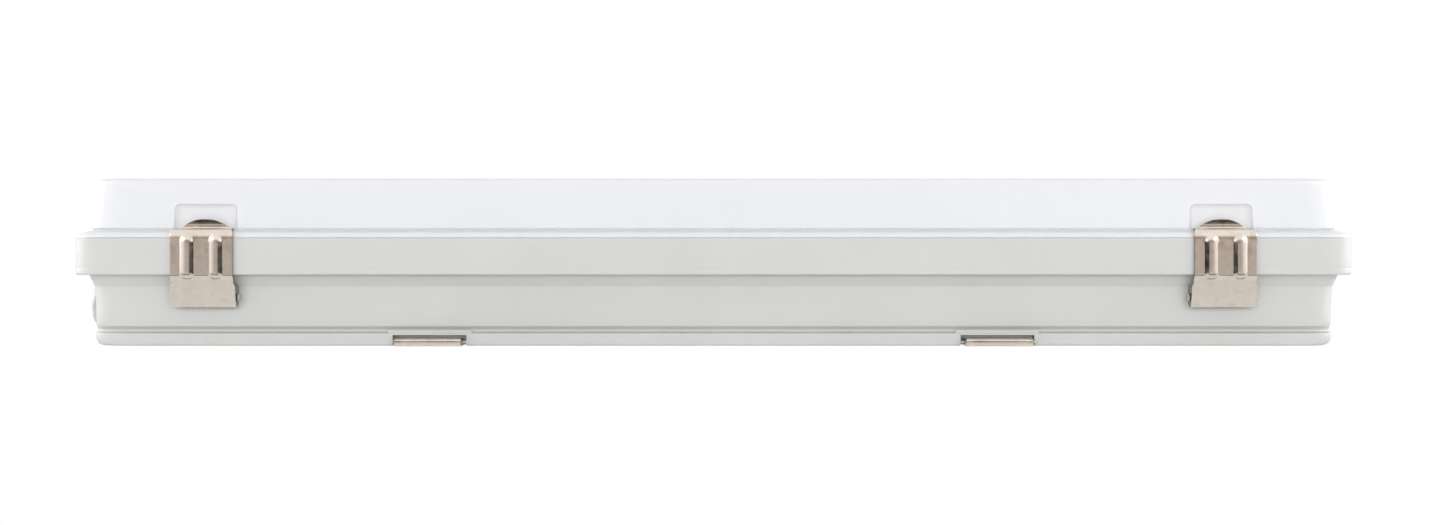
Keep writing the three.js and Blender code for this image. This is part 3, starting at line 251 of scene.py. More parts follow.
# Housing: one shell moulded in light grey, glass-filled polyester, about 2.5 mm thick.
# A deep skirt hangs round the shoulder, a long groove runs above the lip, and ears carry the latches' pins.
# Posts, pads and channels for the gear tray, the gland and the two brackets are moulded in.
rim_half_length = 0.330
rim_half_width = 0.063
rim_corner_radius = 0.021
corner_segments = 9
latch_x = 0.260
latch_spots = [(side, x) for side in (-1, 1) for x in (-latch_x, latch_x)]
housing_turns = [
    # height, inset from the end face, inset from the side face, all in millimetres
    (0.0, 12.8, 12.3), (0.15, 11.65, 12.0), (0.6, 10.55, 11.65), (1.32, 9.62, 11.5), (2.25, 8.9, 11.5),
    (3.34, 8.45, 11.5), (4.5, 8.3, 11.5), (6.0, 8.3, 11.5), (6.3, 8.3, 11.6), (6.6, 8.3, 12.1),
    (6.9, 8.3, 14.1), (7.3, 8.3, 15.1), (8.0, 8.3, 15.3), (8.7, 8.3, 14.9), (9.3, 8.3, 13.8),
    (10.0, 8.3, 12.7), (11.2, 8.3, 12.25), (12.8, 8.3, 11.95), (15.0, 8.3, 11.7), (17.6, 8.3, 11.5),
    (20.6, 8.3, 11.5), (21.2, 8.24, 11.5), (30.2, 7.45, 11.5), (30.8, 7.3, 11.22), (36.3, 6.05, 6.2),
    (37.0, 6.0, 6.0), (48.5, 6.0, 6.0), (48.5, 2.5, 2.5),
    (36.7, 2.5, 2.5), (36.5, 2.3, 2.3), (36.5, 0.95, 0.95), (36.6, 0.5, 0.5), (36.9, 0.15, 0.15),
    (37.4, 0.0, 0.0), (39.6, 0.0, 0.0), (39.9, 0.14, 0.14), (40.3, 0.14, 0.14), (40.6, 0.0, 0.0),
    (54.8, 0.0, 0.0), (55.15, 0.09, 0.09), (55.34, 0.3, 0.3), (55.4, 0.6, 0.6), (55.4, 2.35, 2.35),
    (55.25, 2.5, 2.5), (51.0, 2.5, 2.5), (51.0, 6.0, 6.0), (55.25, 6.0, 6.0), (55.4, 6.15, 6.15),
    (55.4, 8.35, 8.35), (55.25, 8.5, 8.5), (36.5, 8.5, 8.5), (30.5, 9.9, 14.0), (18.6, 10.8, 14.0),
    (15.6, 10.8, 16.9), (5.5, 10.8, 16.9), (3.7, 11.5, 17.6), (3.0, 13.3, 19.4),
]


def clear_selection():
    if bpy.context.mode != "OBJECT":
        bpy.ops.object.mode_set(mode="OBJECT")
    bpy.ops.object.select_all(action="DESELECT")


def pick(piece):
    """Makes a piece the only one selected, and active."""
    clear_selection()
    piece.select_set(True)
    bpy.context.view_layer.objects.active = piece


def start_editing(piece):
    pick(piece)
    bpy.ops.object.mode_set(mode="EDIT")
    bpy.ops.mesh.select_mode(type="VERT")
    return bmesh.from_edit_mesh(piece.data)


def choose(piece, wanted):
    """In edit mode, selects only the vertices whose place is wanted."""
    bpy.ops.mesh.select_all(action="DESELECT")
    shape = bmesh.from_edit_mesh(piece.data)
    for corner in shape.verts:
        corner.select = bool(wanted(corner.co))
    shape.select_flush(True)
    bmesh.update_edit_mesh(piece.data)


def turn_of(height, end_inset, side_inset):
    """One turn of a wall round the fixture: its height, half sizes and corner radius, from millimetres."""
    radius = rim_corner_radius - 0.5 * min(end_inset, side_inset) / 1000
    return (height / 1000, rim_half_length - end_inset / 1000, rim_half_width - side_inset / 1000, radius)


def moulded_shell(name, turns):
    """A plane with rounded corners, extruded from turn to turn; the last face closes the shell."""
    clear_selection()
    bpy.ops.mesh.primitive_plane_add(size=2)
    piece = bpy.context.object
    piece.name = name
    height, half_x, half_y, radius = turn_of(*turns[0])
    bpy.ops.object.mode_set(mode="EDIT")
    bpy.ops.mesh.select_mode(type="VERT")
    bpy.ops.transform.resize(value=(half_x, half_y, 1), center_override=(0, 0, 0))
    bpy.ops.transform.translate(value=(0, 0, height))
    bpy.ops.mesh.bevel(offset=radius, segments=corner_segments, affect="VERTICES")
    for values in turns[1:]:
        new_height, new_half_x, new_half_y, new_radius = turn_of(*values)
        bpy.ops.mesh.extrude_region_move(TRANSFORM_OT_translate={"value": (0, 0, new_height - height)})
        growth = new_radius / radius
        step_x = (new_half_x - new_radius) - (half_x - radius)
        step_y = (new_half_y - new_radius) - (half_y - radius)
        shape = bmesh.from_edit_mesh(piece.data)
        ring = [corner for corner in shape.verts if corner.select]
        for side_x in (-1, 1):
            for side_y in (-1, 1):
                for corner in shape.verts:
                    corner.select = False
                for corner in ring:
                    corner.select = corner.co.x * side_x > 0 and corner.co.y * side_y > 0
                bmesh.update_edit_mesh(piece.data)
                middle = (side_x * (half_x - radius), side_y * (half_y - radius), new_height)
                bpy.ops.transform.resize(value=(growth, growth, 1), center_override=middle)
                bpy.ops.transform.translate(value=(side_x * step_x, side_y * step_y, 0))
        for corner in ring:
            corner.select = True
        shape.select_flush(True)
        bmesh.update_edit_mesh(piece.data)
        height, half_x, half_y, radius = new_height, new_half_x, new_half_y, new_radius
    bpy.ops.mesh.select_all(action="SELECT")
    bpy.ops.mesh.remove_doubles(threshold=1e-6)
    bpy.ops.mesh.normals_make_consistent(inside=False)
    bpy.ops.object.mode_set(mode="OBJECT")
    return piece


def add_box(low, high, bevel=0.0):
    """A block between two corners, given in millimetres, with its edges eased."""
    clear_selection()
    bpy.ops.mesh.primitive_cube_add(size=1)
    block = bpy.context.object
    bpy.ops.object.mode_set(mode="EDIT")
    size = [abs(b - a) / 1000 for a, b in zip(low, high)]
    middle = [(a + b) / 2000 for a, b in zip(low, high)]
    bpy.ops.transform.resize(value=size, center_override=(0, 0, 0))
    bpy.ops.transform.translate(value=middle)
    if bevel:
        bpy.ops.mesh.bevel(offset=bevel / 1000, segments=2)
    bpy.ops.object.mode_set(mode="OBJECT")
    return block


def add_rod(radius, start, end, sides=40, bevel=0.0):
    """A round rod between two points, given in millimetres, with its end edges eased by a bevel."""
    clear_selection()
    start, end = Vector(start) / 1000, Vector(end) / 1000
    turn = (end - start).to_track_quat("Z", "Y").to_euler()
    length, middle = (end - start).length, (start + end) / 2
    bpy.ops.mesh.primitive_cylinder_add(
        vertices=sides, radius=radius / 1000, depth=length, location=middle, rotation=turn
    )
    rod = bpy.context.object
    bpy.ops.object.transform_apply(location=True, rotation=True, scale=True)
    if bevel:
        axis = (end - start).normalized()
        shape = start_editing(rod)
        for edge in shape.edges:
            edge.select = abs((edge.verts[1].co - edge.verts[0].co).normalized().dot(axis)) < 0.5
        bmesh.update_edit_mesh(rod.data)
        bpy.ops.mesh.bevel(offset=bevel / 1000, segments=3)
        bpy.ops.object.mode_set(mode="OBJECT")
    return rod


def combine(piece, tools, way):
    """Joins tools to a piece, or cuts them out of it, and removes them."""
    pick(tools[0])
    for tool in tools[1:]:
        tool.select_set(True)
    if len(tools) > 1:
        bpy.ops.object.join()
    tool = bpy.context.object
    pick(piece)
    step = piece.modifiers.new("combine", "BOOLEAN")
    step.object = tool
    step.operation = way
    step.solver = "EXACT"
    step.use_self = True
    bpy.ops.object.modifier_apply(modifier=step.name)
    bpy.data.objects.remove(tool)


def smooth(piece, angle=35):
    """Smooth shading that keeps edges sharper than the angle, with flat faces kept flat."""
    pick(piece)
    bpy.ops.object.shade_smooth_by_angle(angle=math.radians(angle))
    step = piece.modifiers.new("flat faces", "WEIGHTED_NORMAL")
    step.keep_sharp = True
    bpy.ops.object.modifier_apply(modifier=step.name)


def finish_piece(piece, material, body, slot, *nodes):
    """One material, the body it rides on and the CAD nodes it stands for; the slot, meant for its finish, is
    not used.
    """
    piece.data.materials.clear()
    piece.data.materials.append(material)
    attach(piece, body)
    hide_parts(*nodes)


housing = moulded_shell("housing_shell", housing_turns)
# two ears at each latch, on the line of its pin; this and what follows is in millimetres
ear_away, ear_half_width, ear_root, ear_low, ear_high, ear_radius = 12.5, 2.5, 50.2, 24.6, 27.4, 2.4
pin_out, pin_height, pin_hole_radius, pin_hole_reach = 57.2, 25, 1.55, 3.5
# a pad round each cable entry, and a post for each of the tray's fasteners
entry_height, entry_radius, entry_from, entry_to = 20, 10, 313.4, 330
pad_radius, pad_from, pad_to = 14.5, 314.4, 322.4
post_x, post_radius, post_top = 280, 6, 48.7
post_hole_radius, post_hole_low, post_hole_high = 3.3, 36.4, 50
# a channel under each bracket, a ledge with a notch for its ears, and a hollow boss round each screw's head
floor_low = 1.5
bracket_x, ledge_half_width, ledge_in, ledge_out, ledge_top = 146, 21.5, 40.8, 50.6, 7.9
channel_half_width, channel_reach, notch_in, notch_reach, notch_low, notch_high = 19, 64, 43.5, 63, 2.5, 5.5
screw_away, boss_radius, boss_top, screw_room_radius, screw_room_top = 25, 10, 6.5, 8, 4.5


def ear_rod(radius, side, middle, reach, sides=40):
    """A rod on the line of a latch's pin, from a reach before the middle of an ear to a reach past it."""
    start, end = (middle - reach, side * pin_out, pin_height), (middle + reach, side * pin_out, pin_height)
    return add_rod(radius, start, end, sides)


def entry_rod(radius, start, end, sides=40, bevel=0.0):
    """A rod along the fixture at the height of the cable entries, between two distances from the middle."""
    return add_rod(radius, (start, 0, entry_height), (end, 0, entry_height), sides, bevel)


additions = []
for side, x in latch_spots:
    for along in (-1, 1):
        ear_x = x * 1000 + along * ear_away
        low = (ear_x - ear_half_width, side * ear_root, ear_low)
        high = (ear_x + ear_half_width, side * pin_out, ear_high)
        additions.append(add_box(low, high))
        additions.append(ear_rod(ear_radius, side, ear_x, ear_half_width))
for along in (-1, 1):
    additions.append(entry_rod(pad_radius, along * pad_from, along * pad_to, 64, 0.3))
    additions.append(add_rod(post_radius, (along * post_x, 0, floor_low), (along * post_x, 0, post_top)))
    for side in (-1, 1):
        low = (along * bracket_x - ledge_half_width, side * ledge_in, floor_low)
        high = (along * bracket_x + ledge_half_width, side * ledge_out, ledge_top)
        additions.append(add_box(low, high))
        middle = (along * bracket_x, side * screw_away)
        additions.append(add_rod(boss_radius, (*middle, floor_low), (*middle, boss_top)))
combine(housing, additions, "UNION")
cuts = []
for side, x in latch_spots:
    for along in (-1, 1):
        cuts.append(ear_rod(pin_hole_radius, side, x * 1000 + along * ear_away, pin_hole_reach, 24))
for along in (-1, 1):
    x, post = along * bracket_x, (along * post_x, 0)
    low, high = x - channel_half_width, x + channel_half_width
    cuts.append(add_box((low, -channel_reach, -1), (high, channel_reach, floor_low)))
    cuts.append(entry_rod(entry_radius, along * entry_from, along * entry_to, 48))
    cuts.append(add_rod(post_hole_radius, (*post, post_hole_low), (*post, post_hole_high), 32))
    for side in (-1, 1):
        cuts.append(add_box((low, side * notch_in, notch_low), (high, side * notch_reach, notch_high)))
        middle = (x, side * screw_away)
        cuts.append(add_rod(screw_room_radius, (*middle, -1), (*middle, screw_room_top)))
combine(housing, cuts, "DIFFERENCE")
smooth(housing)


def start_group(name, numbers, outputs):
    """A shader node group with number inputs (name and usual value) and named outputs."""
    group = bpy.data.node_groups.new(name, "ShaderNodeTree")
    for label, value in numbers:
        socket = group.interface.new_socket(label, in_out="INPUT", socket_type="NodeSocketFloat")
        socket.default_value = value
    for label in outputs:
        group.interface.new_socket(label, in_out="OUTPUT", socket_type="NodeSocketFloat")
    start = group.nodes.new("NodeGroupInput")
    start.location = (-900, 0)
    end = group.nodes.new("NodeGroupOutput")
    end.location = (700, 0)
    return group, start, end


# Moulded grain: the fine etched texture of a plastic tool, over slow changes of shade where plastic flowed.
grain_group, grain_in, grain_out = start_group(
    "moulded grain", [("Fine Scale", 2600.0), ("Broad Scale", 14.0)], ["Fine", "Broad"]
)
grain_place = add_node(grain_group, "ShaderNodeTexCoord", (-900, 300))
fine_noise = add_node(grain_group, "ShaderNodeTexNoise", (-400, 200), Detail=3.0, Roughness=0.6)
broad_noise = add_node(
    grain_group, "ShaderNodeTexNoise", (-400, -200), Detail=4.0, Roughness=0.55, Distortion=0.4
)
for noise, label in ((fine_noise, "Fine"), (broad_noise, "Broad")):
    join_sockets(grain_group, grain_place.outputs["Object"], noise.inputs["Vector"])
    join_sockets(grain_group, grain_in.outputs[label + " Scale"], noise.inputs["Scale"])
    join_sockets(grain_group, noise.outputs[0], grain_out.inputs[label])


def break_up(group, group_in, mask, group_out, detail, roughness, low, high):
    """Multiplies a mask by patches of noise, at the group's own scale, and gives it to the group's output."""
    place = add_node(group, "ShaderNodeTexCoord", (-900, -300))
    noise = add_node(group, "ShaderNodeTexNoise", (-600, -300), Detail=detail, Roughness=roughness)
    join_sockets(group, place.outputs["Object"], noise.inputs["Vector"])
    join_sockets(group, group_in.outputs["Scale"], noise.inputs["Scale"])
    patches = share_of(group, (-200, -200), noise.outputs[0], 0.0, 1.0, low, high)
    product = add_node(group, "ShaderNodeMath", (200, 0))
    product.operation = "MULTIPLY"
    join_sockets(group, mask, product.inputs[0])
    join_sockets(group, patches, product.inputs[1])
    join_sockets(group, product.outputs[0], group_out.inputs[0])


# Edge wear: where a rounded normal leaves the true one, an edge has been rubbed; noise breaks it up.
wear_group, wear_in, wear_out = start_group("edge wear", [("Radius", 0.0006), ("Scale", 400.0)], ["Wear"])
wear_round = add_node(wear_group, "ShaderNodeBevel", (-600, 200))
join_sockets(wear_group, wear_in.outputs["Radius"], wear_round.inputs["Radius"])
wear_true = add_node(wear_group, "ShaderNodeNewGeometry", (-600, 0))
wear_match = add_node(wear_group, "ShaderNodeVectorMath", (-400, 100))
wear_match.operation = "DOT_PRODUCT"
join_sockets(wear_group, wear_round.outputs[0], wear_match.inputs[0])
join_sockets(wear_group, wear_true.outputs["Normal"], wear_match.inputs[1])
wear_edges = share_of(wear_group, (-200, 100), wear_match.outputs["Value"], 0.0, 1.0, 0.995, 0.86)
break_up(wear_group, wear_in, wear_edges, wear_out, 2.0, 0.5, 0.35, 0.65)

# Dust: a film that settles on faces that look up, thicker in patches.
dust_group, dust_in, dust_out = start_group("settled dust", [("Scale", 30.0)], ["Dust"])
dust_true = add_node(dust_group, "ShaderNodeNewGeometry", (-700, 200))
dust_split = add_node(dust_group, "ShaderNodeSeparateXYZ", (-500, 200))
join_sockets(dust_group, dust_true.outputs["Normal"], dust_split.inputs[0])
dust_up = share_of(dust_group, (-300, 200), dust_split.outputs["Z"], 0.0, 1.0, 0.4, 1.0)
break_up(dust_group, dust_in, dust_up, dust_out, 5.0, 0.65, 0.4, 0.7)


def place_group(tree, group, place, **values):
    """Puts a node group in a tree and sets its sockets by name."""
    node = add_node(tree, "ShaderNodeGroup", place)
    node.node_tree = group
    for name, value in values.items():
        node.inputs[name.replace("_", " ")].default_value = value
    return node


broad_span = (0.3, 0.7)


def start_material(name, shades, fine, broad, roughness, metallic=0.0):
    """A material whose colour drifts between two shades; gives its tree, shader and grain, and the colour."""
    material = bpy.data.materials.new(name)
    material.use_nodes = True
    tree = material.node_tree
    shader = tree.nodes["Principled BSDF"]
    shader.inputs["Roughness"].default_value = roughness
    shader.inputs["Metallic"].default_value = metallic
    grain = place_group(tree, grain_group, (-900, 100), Fine_Scale=fine, Broad_Scale=broad)
    share = share_of(tree, (-700, 200), grain.outputs["Broad"], 0.0, 1.0, *broad_span)
    return material, tree, shader, grain, mix_by(tree, "RGB", (-500, 300), share, *shades)


def end_material(tree, shader, grain, colour, gloss_range, bump, strength, span=broad_span):
    """Gives the shader its colour, a roughness that drifts over a range, and a fine bump of a depth."""
    join_sockets(tree, colour, shader.inputs["Base Color"])
    rough = share_of(tree, (-500, 0), grain.outputs["Broad"], *gloss_range, *span)
    join_sockets(tree, rough, shader.inputs["Roughness"])
    fine_bump = add_node(tree, "ShaderNodeBump", (-300, -200), Distance=bump, Strength=strength)
    join_sockets(tree, grain.outputs["Fine"], fine_bump.inputs["Height"])
    join_sockets(tree, fine_bump.outputs[0], shader.inputs["Normal"])


def moulded_plastic(name, low, high, roughness, fine=2600.0, broad=14.0, bump=0.00004):
    """Moulded plastic: shades that drift, fine etched grain, rubbed edges and a film of dust."""
    dust_colour, most_wear, most_dust = (0.62, 0.60, 0.56), 0.35, 0.25
    rubbed = tuple(min(1.0, 1.12 * value) for value in high)
    material, tree, shader, grain, colour = start_material(name, (low, high), fine, broad, roughness)
    wear = place_group(tree, wear_group, (-900, -150))
    wear_share = share_of(tree, (-700, -100), wear.outputs[0], 0.0, most_wear)
    colour = mix_by(tree, "RGB", (-300, 300), wear_share, colour, rubbed)
    dust = place_group(tree, dust_group, (-900, -350))
    dust_share = share_of(tree, (-700, -350), dust.outputs[0], 0.0, most_dust)
    colour = mix_by(tree, "RGB", (-100, 300), dust_share, colour, dust_colour)
    end_material(tree, shader, grain, colour, (roughness - 0.05, roughness + 0.07), bump, 0.6)
    return material


housing_plastic = moulded_plastic("light grey polyester", (0.545, 0.552, 0.535), (0.575, 0.582, 0.565), 0.42)
finish_piece(housing, housing_plastic, "fixture", "housing", "housing")

# Lens: a tall opal cover blown in acrylic, 2.2 mm thick, with a flange that slopes out over the rim.
# Each latch has a pocket in the wall, whose floor its hook presses on, and a rib below sinks into the seal.
lens_turns = [
    # height, inset from the end face, inset from the side face, all in millimetres
    (86.0, 12.0, 12.0), (85.9, 11.2, 11.2), (85.6, 10.5, 10.5), (85.1, 9.9, 9.9), (84.5, 9.4, 9.4),
    (83.7, 9.1, 9.1), (82.8, 9.0, 9.0), (76.0, 8.35, 8.35), (60.7, 6.82, 6.82), (60.45, 6.95, 6.95),
    (60.15, 7.8, 7.8), (59.6, 7.9, 7.9), (59.25, 7.1, 7.1), (59.05, 5.2, 5.2), (58.4, 2.6, 2.6),
    (57.9, 1.7, 1.7), (57.2, 1.0, 1.0), (56.4, 0.5, 0.5), (55.7, 0.3, 0.3), (55.5, 0.34, 0.34),
    (55.44, 0.5, 0.5), (55.44, 3.7, 3.7), (54.9, 3.7, 3.7), (54.9, 4.8, 4.8), (55.5, 4.8, 4.8),
    (55.5, 8.95, 8.95), (60.0, 9.0, 9.0), (83.0, 11.2, 11.2), (83.6, 11.5, 11.5), (83.8, 12.2, 12.2),
]
# each pocket's half width at its floor and at its open side, and where it starts and ends, in millimetres
pocket_half_width, pocket_open_half_width = 15.5, 18.3
pocket_floor_out, pocket_open_out = 52.8, 64
pocket_wall, pocket_wall_low, pocket_wall_high = 2.2, 55.72, 75.2
pocket_low, pocket_high = 58.4, 73.0
# its rounding, how far the wall's outer side is drawn back, and what lies on that side, in metres
pocket_rounding, pocket_draw_back, outer_side_from = 0.0028, 0.0095, 0.06
lens = moulded_shell("lens_cover", lens_turns)


def start_on_outer_side(block, side):
    """Starts editing a block with the corners of its outer side chosen."""
    start_editing(block)
    choose(block, lambda place: side * place.y > outer_side_from)


def pocket_block(side, x, grow, low, high):
    """The shape of a latch pocket, seen from above a trapezium that opens outwards past the lens wall."""
    inner = (x * 1000 - pocket_half_width - grow, side * (pocket_floor_out - grow), low)
    outer = (x * 1000 + pocket_half_width + grow, side * pocket_open_out, high)
    block = add_box(inner, outer)
    start_on_outer_side(block, side)
    flare = (pocket_open_half_width + grow) / (pocket_half_width + grow)
    bpy.ops.transform.resize(value=(flare, 1, 1), center_override=(x, 0, 0))
    bpy.ops.object.mode_set(mode="OBJECT")
    return block


pocket_walls, pocket_hollows = [], []
for side, x in latch_spots:
    wall = pocket_block(side, x, pocket_wall, pocket_wall_low, pocket_wall_high)
    start_on_outer_side(wall, side)
    bpy.ops.transform.translate(value=(0, -side * pocket_draw_back, 0))
    bpy.ops.object.mode_set(mode="OBJECT")
    pocket_walls.append(wall)
    hollow = pocket_block(side, x, 0.0, pocket_low, pocket_high)
    start_editing(hollow)
    bpy.ops.mesh.select_all(action="SELECT")
    bpy.ops.mesh.bevel(offset=pocket_rounding, segments=5)
    bpy.ops.object.mode_set(mode="OBJECT")
    pocket_hollows.append(hollow)
combine(lens, pocket_walls, "UNION")
combine(lens, pocket_hollows, "DIFFERENCE")
smooth(lens)

opal_shades = (0.725, 0.734, 0.758), (0.752, 0.76, 0.782)
opal_dust_colour, opal_most_dust = (0.62, 0.61, 0.58), 0.12
opal, opal_tree, opal_shader, opal_grain, opal_colour = start_material(
    "opal acrylic", opal_shades, 900.0, 6.0, 0.34
)
opal_dust = place_group(opal_tree, dust_group, (-900, -300), Scale=18.0)
opal_dust_share = share_of(opal_tree, (-700, -300), opal_dust.outputs[0], 0.0, opal_most_dust)
opal_colour = mix_by(opal_tree, "RGB", (-300, 300), opal_dust_share, opal_colour, opal_dust_colour)
end_material(opal_tree, opal_shader, opal_grain, opal_colour, (0.28, 0.4), 0.00002, 0.4)
opal_shader.inputs["Subsurface Weight"].default_value = 0.3
opal_shader.inputs["Subsurface Radius"].default_value = (0.006, 0.006, 0.006)
opal_shader.inputs["Subsurface Scale"].default_value = 1.0
finish_piece(lens, opal, "fixture", "lens", "lens")

# Latches: four clips pressed from one sheet of stainless steel each, 1.2 mm thick and 33 mm wide.
# A domed tongue stands in the lens pocket, two ribs stiffen the face, a flange at each side holds the pin.
latch_sheet = 1.2
latch_half_width = 16.5
latch_columns = 48
latch_path = [
    # distance out from the middle, height and the bend's radius, all in millimetres, for the sheet's middle
    (56.45, 65.2, 0.0), (55.75, 62.5, 3.0), (55.75, 59.6, 1.6), (64.9, 59.6, 4.4),
    (64.9, 36.0, 1.6), (63.2, 34.3, 1.6), (59.2, 20.2, 0.0),
]


def bend(path, step, arc_steps):
    """Rounds the corners of a path and divides its straight parts, as (out, height) points."""
    points = [Vector(path[0][:2])]
    for before, here, after in zip(path, path[1:], path[2:]):
        middle = Vector(here[:2])
        back = (Vector(before[:2]) - middle).normalized()
        on = (Vector(after[:2]) - middle).normalized()
        half = back.angle(on) / 2
        reach = here[2] / math.tan(half)
        centre = middle + (back + on).normalized() * (here[2] / math.sin(half))
        start, end = middle + back * reach, middle + on * reach
        spread = (start - centre).angle_signed(end - centre)
        arm = start - centre
        for index in range(arc_steps + 1):
            turn = spread * index / arc_steps
            across = arm.x * math.cos(turn) + arm.y * math.sin(turn)
            up = arm.y * math.cos(turn) - arm.x * math.sin(turn)
            points.append(centre + Vector((across, up)))
    points.append(Vector(path[-1][:2]))
    divided = [points[0]]
    for start, end in zip(points, points[1:]):
        parts = max(1, round((end - start).length / step))
        divided.extend(start.lerp(end, (index + 1) / parts) for index in range(parts))
    return divided


def bent_strip(name, points, half_width, columns):
    """A strip of sheet, drawn out along points in the Y-Z plane, given in millimetres; -Y is out."""
    clear_selection()
    bpy.ops.mesh.primitive_plane_add(size=2)
    strip = bpy.context.object
    strip.name = name
    shape = start_editing(strip)
    bpy.ops.mesh.select_all(action="DESELECT")
    for edge in shape.edges:
        edge.select = abs(edge.verts[0].co.y - edge.verts[1].co.y) < 0.1
    bmesh.update_edit_mesh(strip.data)
    bpy.ops.mesh.subdivide(number_cuts=columns - 1)
    bpy.ops.mesh.select_all(action="SELECT")
    bpy.ops.transform.resize(value=(half_width / 1000, 1, 1), center_override=(0, 0, 0))
    for row, point in ((1, points[0]), (-1, points[1])):
        choose(strip, lambda place: abs(place.y - row) < 0.1)
        bpy.ops.transform.translate(value=(0, -point.x / 1000 - row, point.y / 1000))
    for start, end in zip(points[1:], points[2:]):
        step = (0, -(end.x - start.x) / 1000, (end.y - start.y) / 1000)
        bpy.ops.mesh.extrude_region_move(TRANSFORM_OT_translate={"value": step})
    bpy.ops.object.mode_set(mode="OBJECT")
    return strip


latch_points = bend(latch_path, 0.75, 6)
latch = bent_strip("latch", latch_points, latch_half_width - latch_sheet / 2, latch_columns)
start_editing(latch)

# two ribs, pushed out of the face with a round falloff
rib_x = 0.0075
rib_half_width = 0.0031
rib_rise = 0.0013
rib_low, rib_high = 0.0372, 0.0535
line_half_width, face_from = 0.0004, 0.0635


def on_rib_line(place, x):
    """Whether a point lies on the line of a rib on the latch's face."""
    return abs(place.x - x) < line_half_width and place.y < -face_from and rib_low < place.z < rib_high


for along in (-1, 1):
    choose(latch, lambda place: on_rib_line(place, along * rib_x))
    bpy.ops.transform.translate(
        value=(0, -rib_rise, 0),
        use_proportional_edit=True,
        proportional_edit_falloff="SPHERE",
        proportional_size=rib_half_width,
    )

# eased shoulders, where the fold goes over the lens flange
shoulder_start = 0.0562
shoulder_rise = 0.0036
shoulder_share = 0.09
for vertex in bmesh.from_edit_mesh(latch.data).verts:
    rise = min(1.0, max(0.0, (vertex.co.z - shoulder_start) / shoulder_rise))
    vertex.co.x *= 1 - shoulder_share * rise * rise

# side flanges, drawn back from the lower panel round the pin
flange_steps = 8
flange_top, flange_front = 0.0343, 0.0625
flange_back, flange_lean, flange_height = 0.0524, 0.0031, 0.0092
pin_y, pin_z, eye_radius = pin_out / 1000, pin_height / 1000, 0.0048


def on_panel_edge(place, x):
    """Whether a point lies on an edge of the latch's lower panel."""
    return abs(place.x - x) < 1e-5 and place.z < flange_top and place.y > -flange_front


for along in (-1, 1):
    edge_x = along * (latch_half_width - latch_sheet / 2) / 1000
    choose(latch, lambda place: on_panel_edge(place, edge_x))
    shape = bmesh.from_edit_mesh(latch.data)
    fronts = {round(vertex.co.z, 6): -vertex.co.y for vertex in shape.verts if vertex.select}
    for step in range(1, flange_steps + 1):
        bpy.ops.mesh.extrude_region_move(TRANSFORM_OT_translate={"value": (0, 1e-4, 0)})
        shape = bmesh.from_edit_mesh(latch.data)
        for vertex in shape.verts:
            if vertex.select:
                height = vertex.co.z
                front = fronts[round(height, 6)]
                if height > pin_z:
                    back = flange_back + flange_lean * (height - pin_z) / flange_height
                else:
                    back = pin_y - math.sqrt(max(0.0, eye_radius**2 - (pin_z - height) ** 2))
                vertex.co.y = -(front + (back - front) * step / flange_steps)
        bmesh.update_edit_mesh(latch.data)
bpy.ops.mesh.select_all(action="SELECT")
bpy.ops.mesh.normals_make_consistent(inside=False)
bpy.ops.object.mode_set(mode="OBJECT")


def apply_step(piece, kind, **settings):
    """Adds a modifier with its settings and applies it."""
    pick(piece)
    step = piece.modifiers.new("step", kind)
    for name, value in settings.items():
        setattr(step, name, value)
    bpy.ops.object.modifier_apply(modifier=step.name)


def ease_edges(piece, width):
    """Rounds the sharp edges of a piece of sheet, by a width in metres."""
    apply_step(piece, "BEVEL", width=width, segments=2, limit_method="ANGLE", angle_limit=math.radians(55))


apply_step(latch, "SOLIDIFY", thickness=latch_sheet / 1000, offset=0, use_even_offset=True)

# the tongue is trimmed to a low dome, and the pin's holes are pierced
dome_radius, dome_top, dome_front, dome_back = 18.1, 65.2, 60, 45
trim_front, trim_back, trim_top, fold_top, past_latch = 57.6, 50, 70, 60.3, 20
trim = add_box((-past_latch, -trim_front, fold_top), (past_latch, -trim_back, trim_top))
dome_middle = dome_top - dome_radius
dome = add_rod(dome_radius, (0, -dome_front, dome_middle), (0, -dome_back, dome_middle), 128)
combine(trim, [dome], "DIFFERENCE")
hole_radius = 1.5
holes = add_rod(hole_radius, (-past_latch, -pin_out, pin_height), (past_latch, -pin_out, pin_height), 24)
combine(latch, [trim], "DIFFERENCE")
combine(latch, [holes], "DIFFERENCE")
ease_edges(latch, 0.00022)

# what faces along the fixture, such as the flanges, gets a painted shade darker than the sheet's face, in
# place of the dark it mirrors
steel_shades = (0.58, 0.515, 0.455), (0.68, 0.62, 0.55)
steel_rubbed, steel_most_wear = (0.80, 0.76, 0.70), 0.6
flange_painted_shade, flange_painted_shade_most = (0.15, 0.125, 0.10), 0.85
steel, steel_tree, steel_shader, steel_grain, steel_colour = start_material(
    "stainless sheet", steel_shades, 1500.0, 160.0, 0.2, metallic=1.0
)
steel_wear = place_group(steel_tree, wear_group, (-900, -150), Radius=0.0004, Scale=700.0)
steel_wear_share = share_of(steel_tree, (-700, -100), steel_wear.outputs[0], 0.0, steel_most_wear)
steel_colour = mix_by(steel_tree, "RGB", (-300, 300), steel_wear_share, steel_colour, steel_rubbed)
steel_normal = add_node(steel_tree, "ShaderNodeNewGeometry", (-1300, -500))
steel_split = add_node(steel_tree, "ShaderNodeSeparateXYZ", (-1100, -500))
join_sockets(steel_tree, steel_normal.outputs["True Normal"], steel_split.inputs[0])
steel_aside = add_node(steel_tree, "ShaderNodeMath", (-900, -500))
steel_aside.operation = "ABSOLUTE"
join_sockets(steel_tree, steel_split.outputs["X"], steel_aside.inputs[0])
# painted shade on the flanges: the steel's colour turns dark where its true normal points along the fixture
flange_painted_shade_share = share_of(steel_tree, (-700, -500), steel_aside.outputs[0], 0.0, flange_painted_shade_most, 0.8, 0.97)
steel_colour = mix_by(steel_tree, "RGB", (-150, 300), flange_painted_shade_share, steel_colour, flange_painted_shade)
end_material(steel_tree, steel_shader, steel_grain, steel_colour, (0.13, 0.28), 0.00001, 0.3)


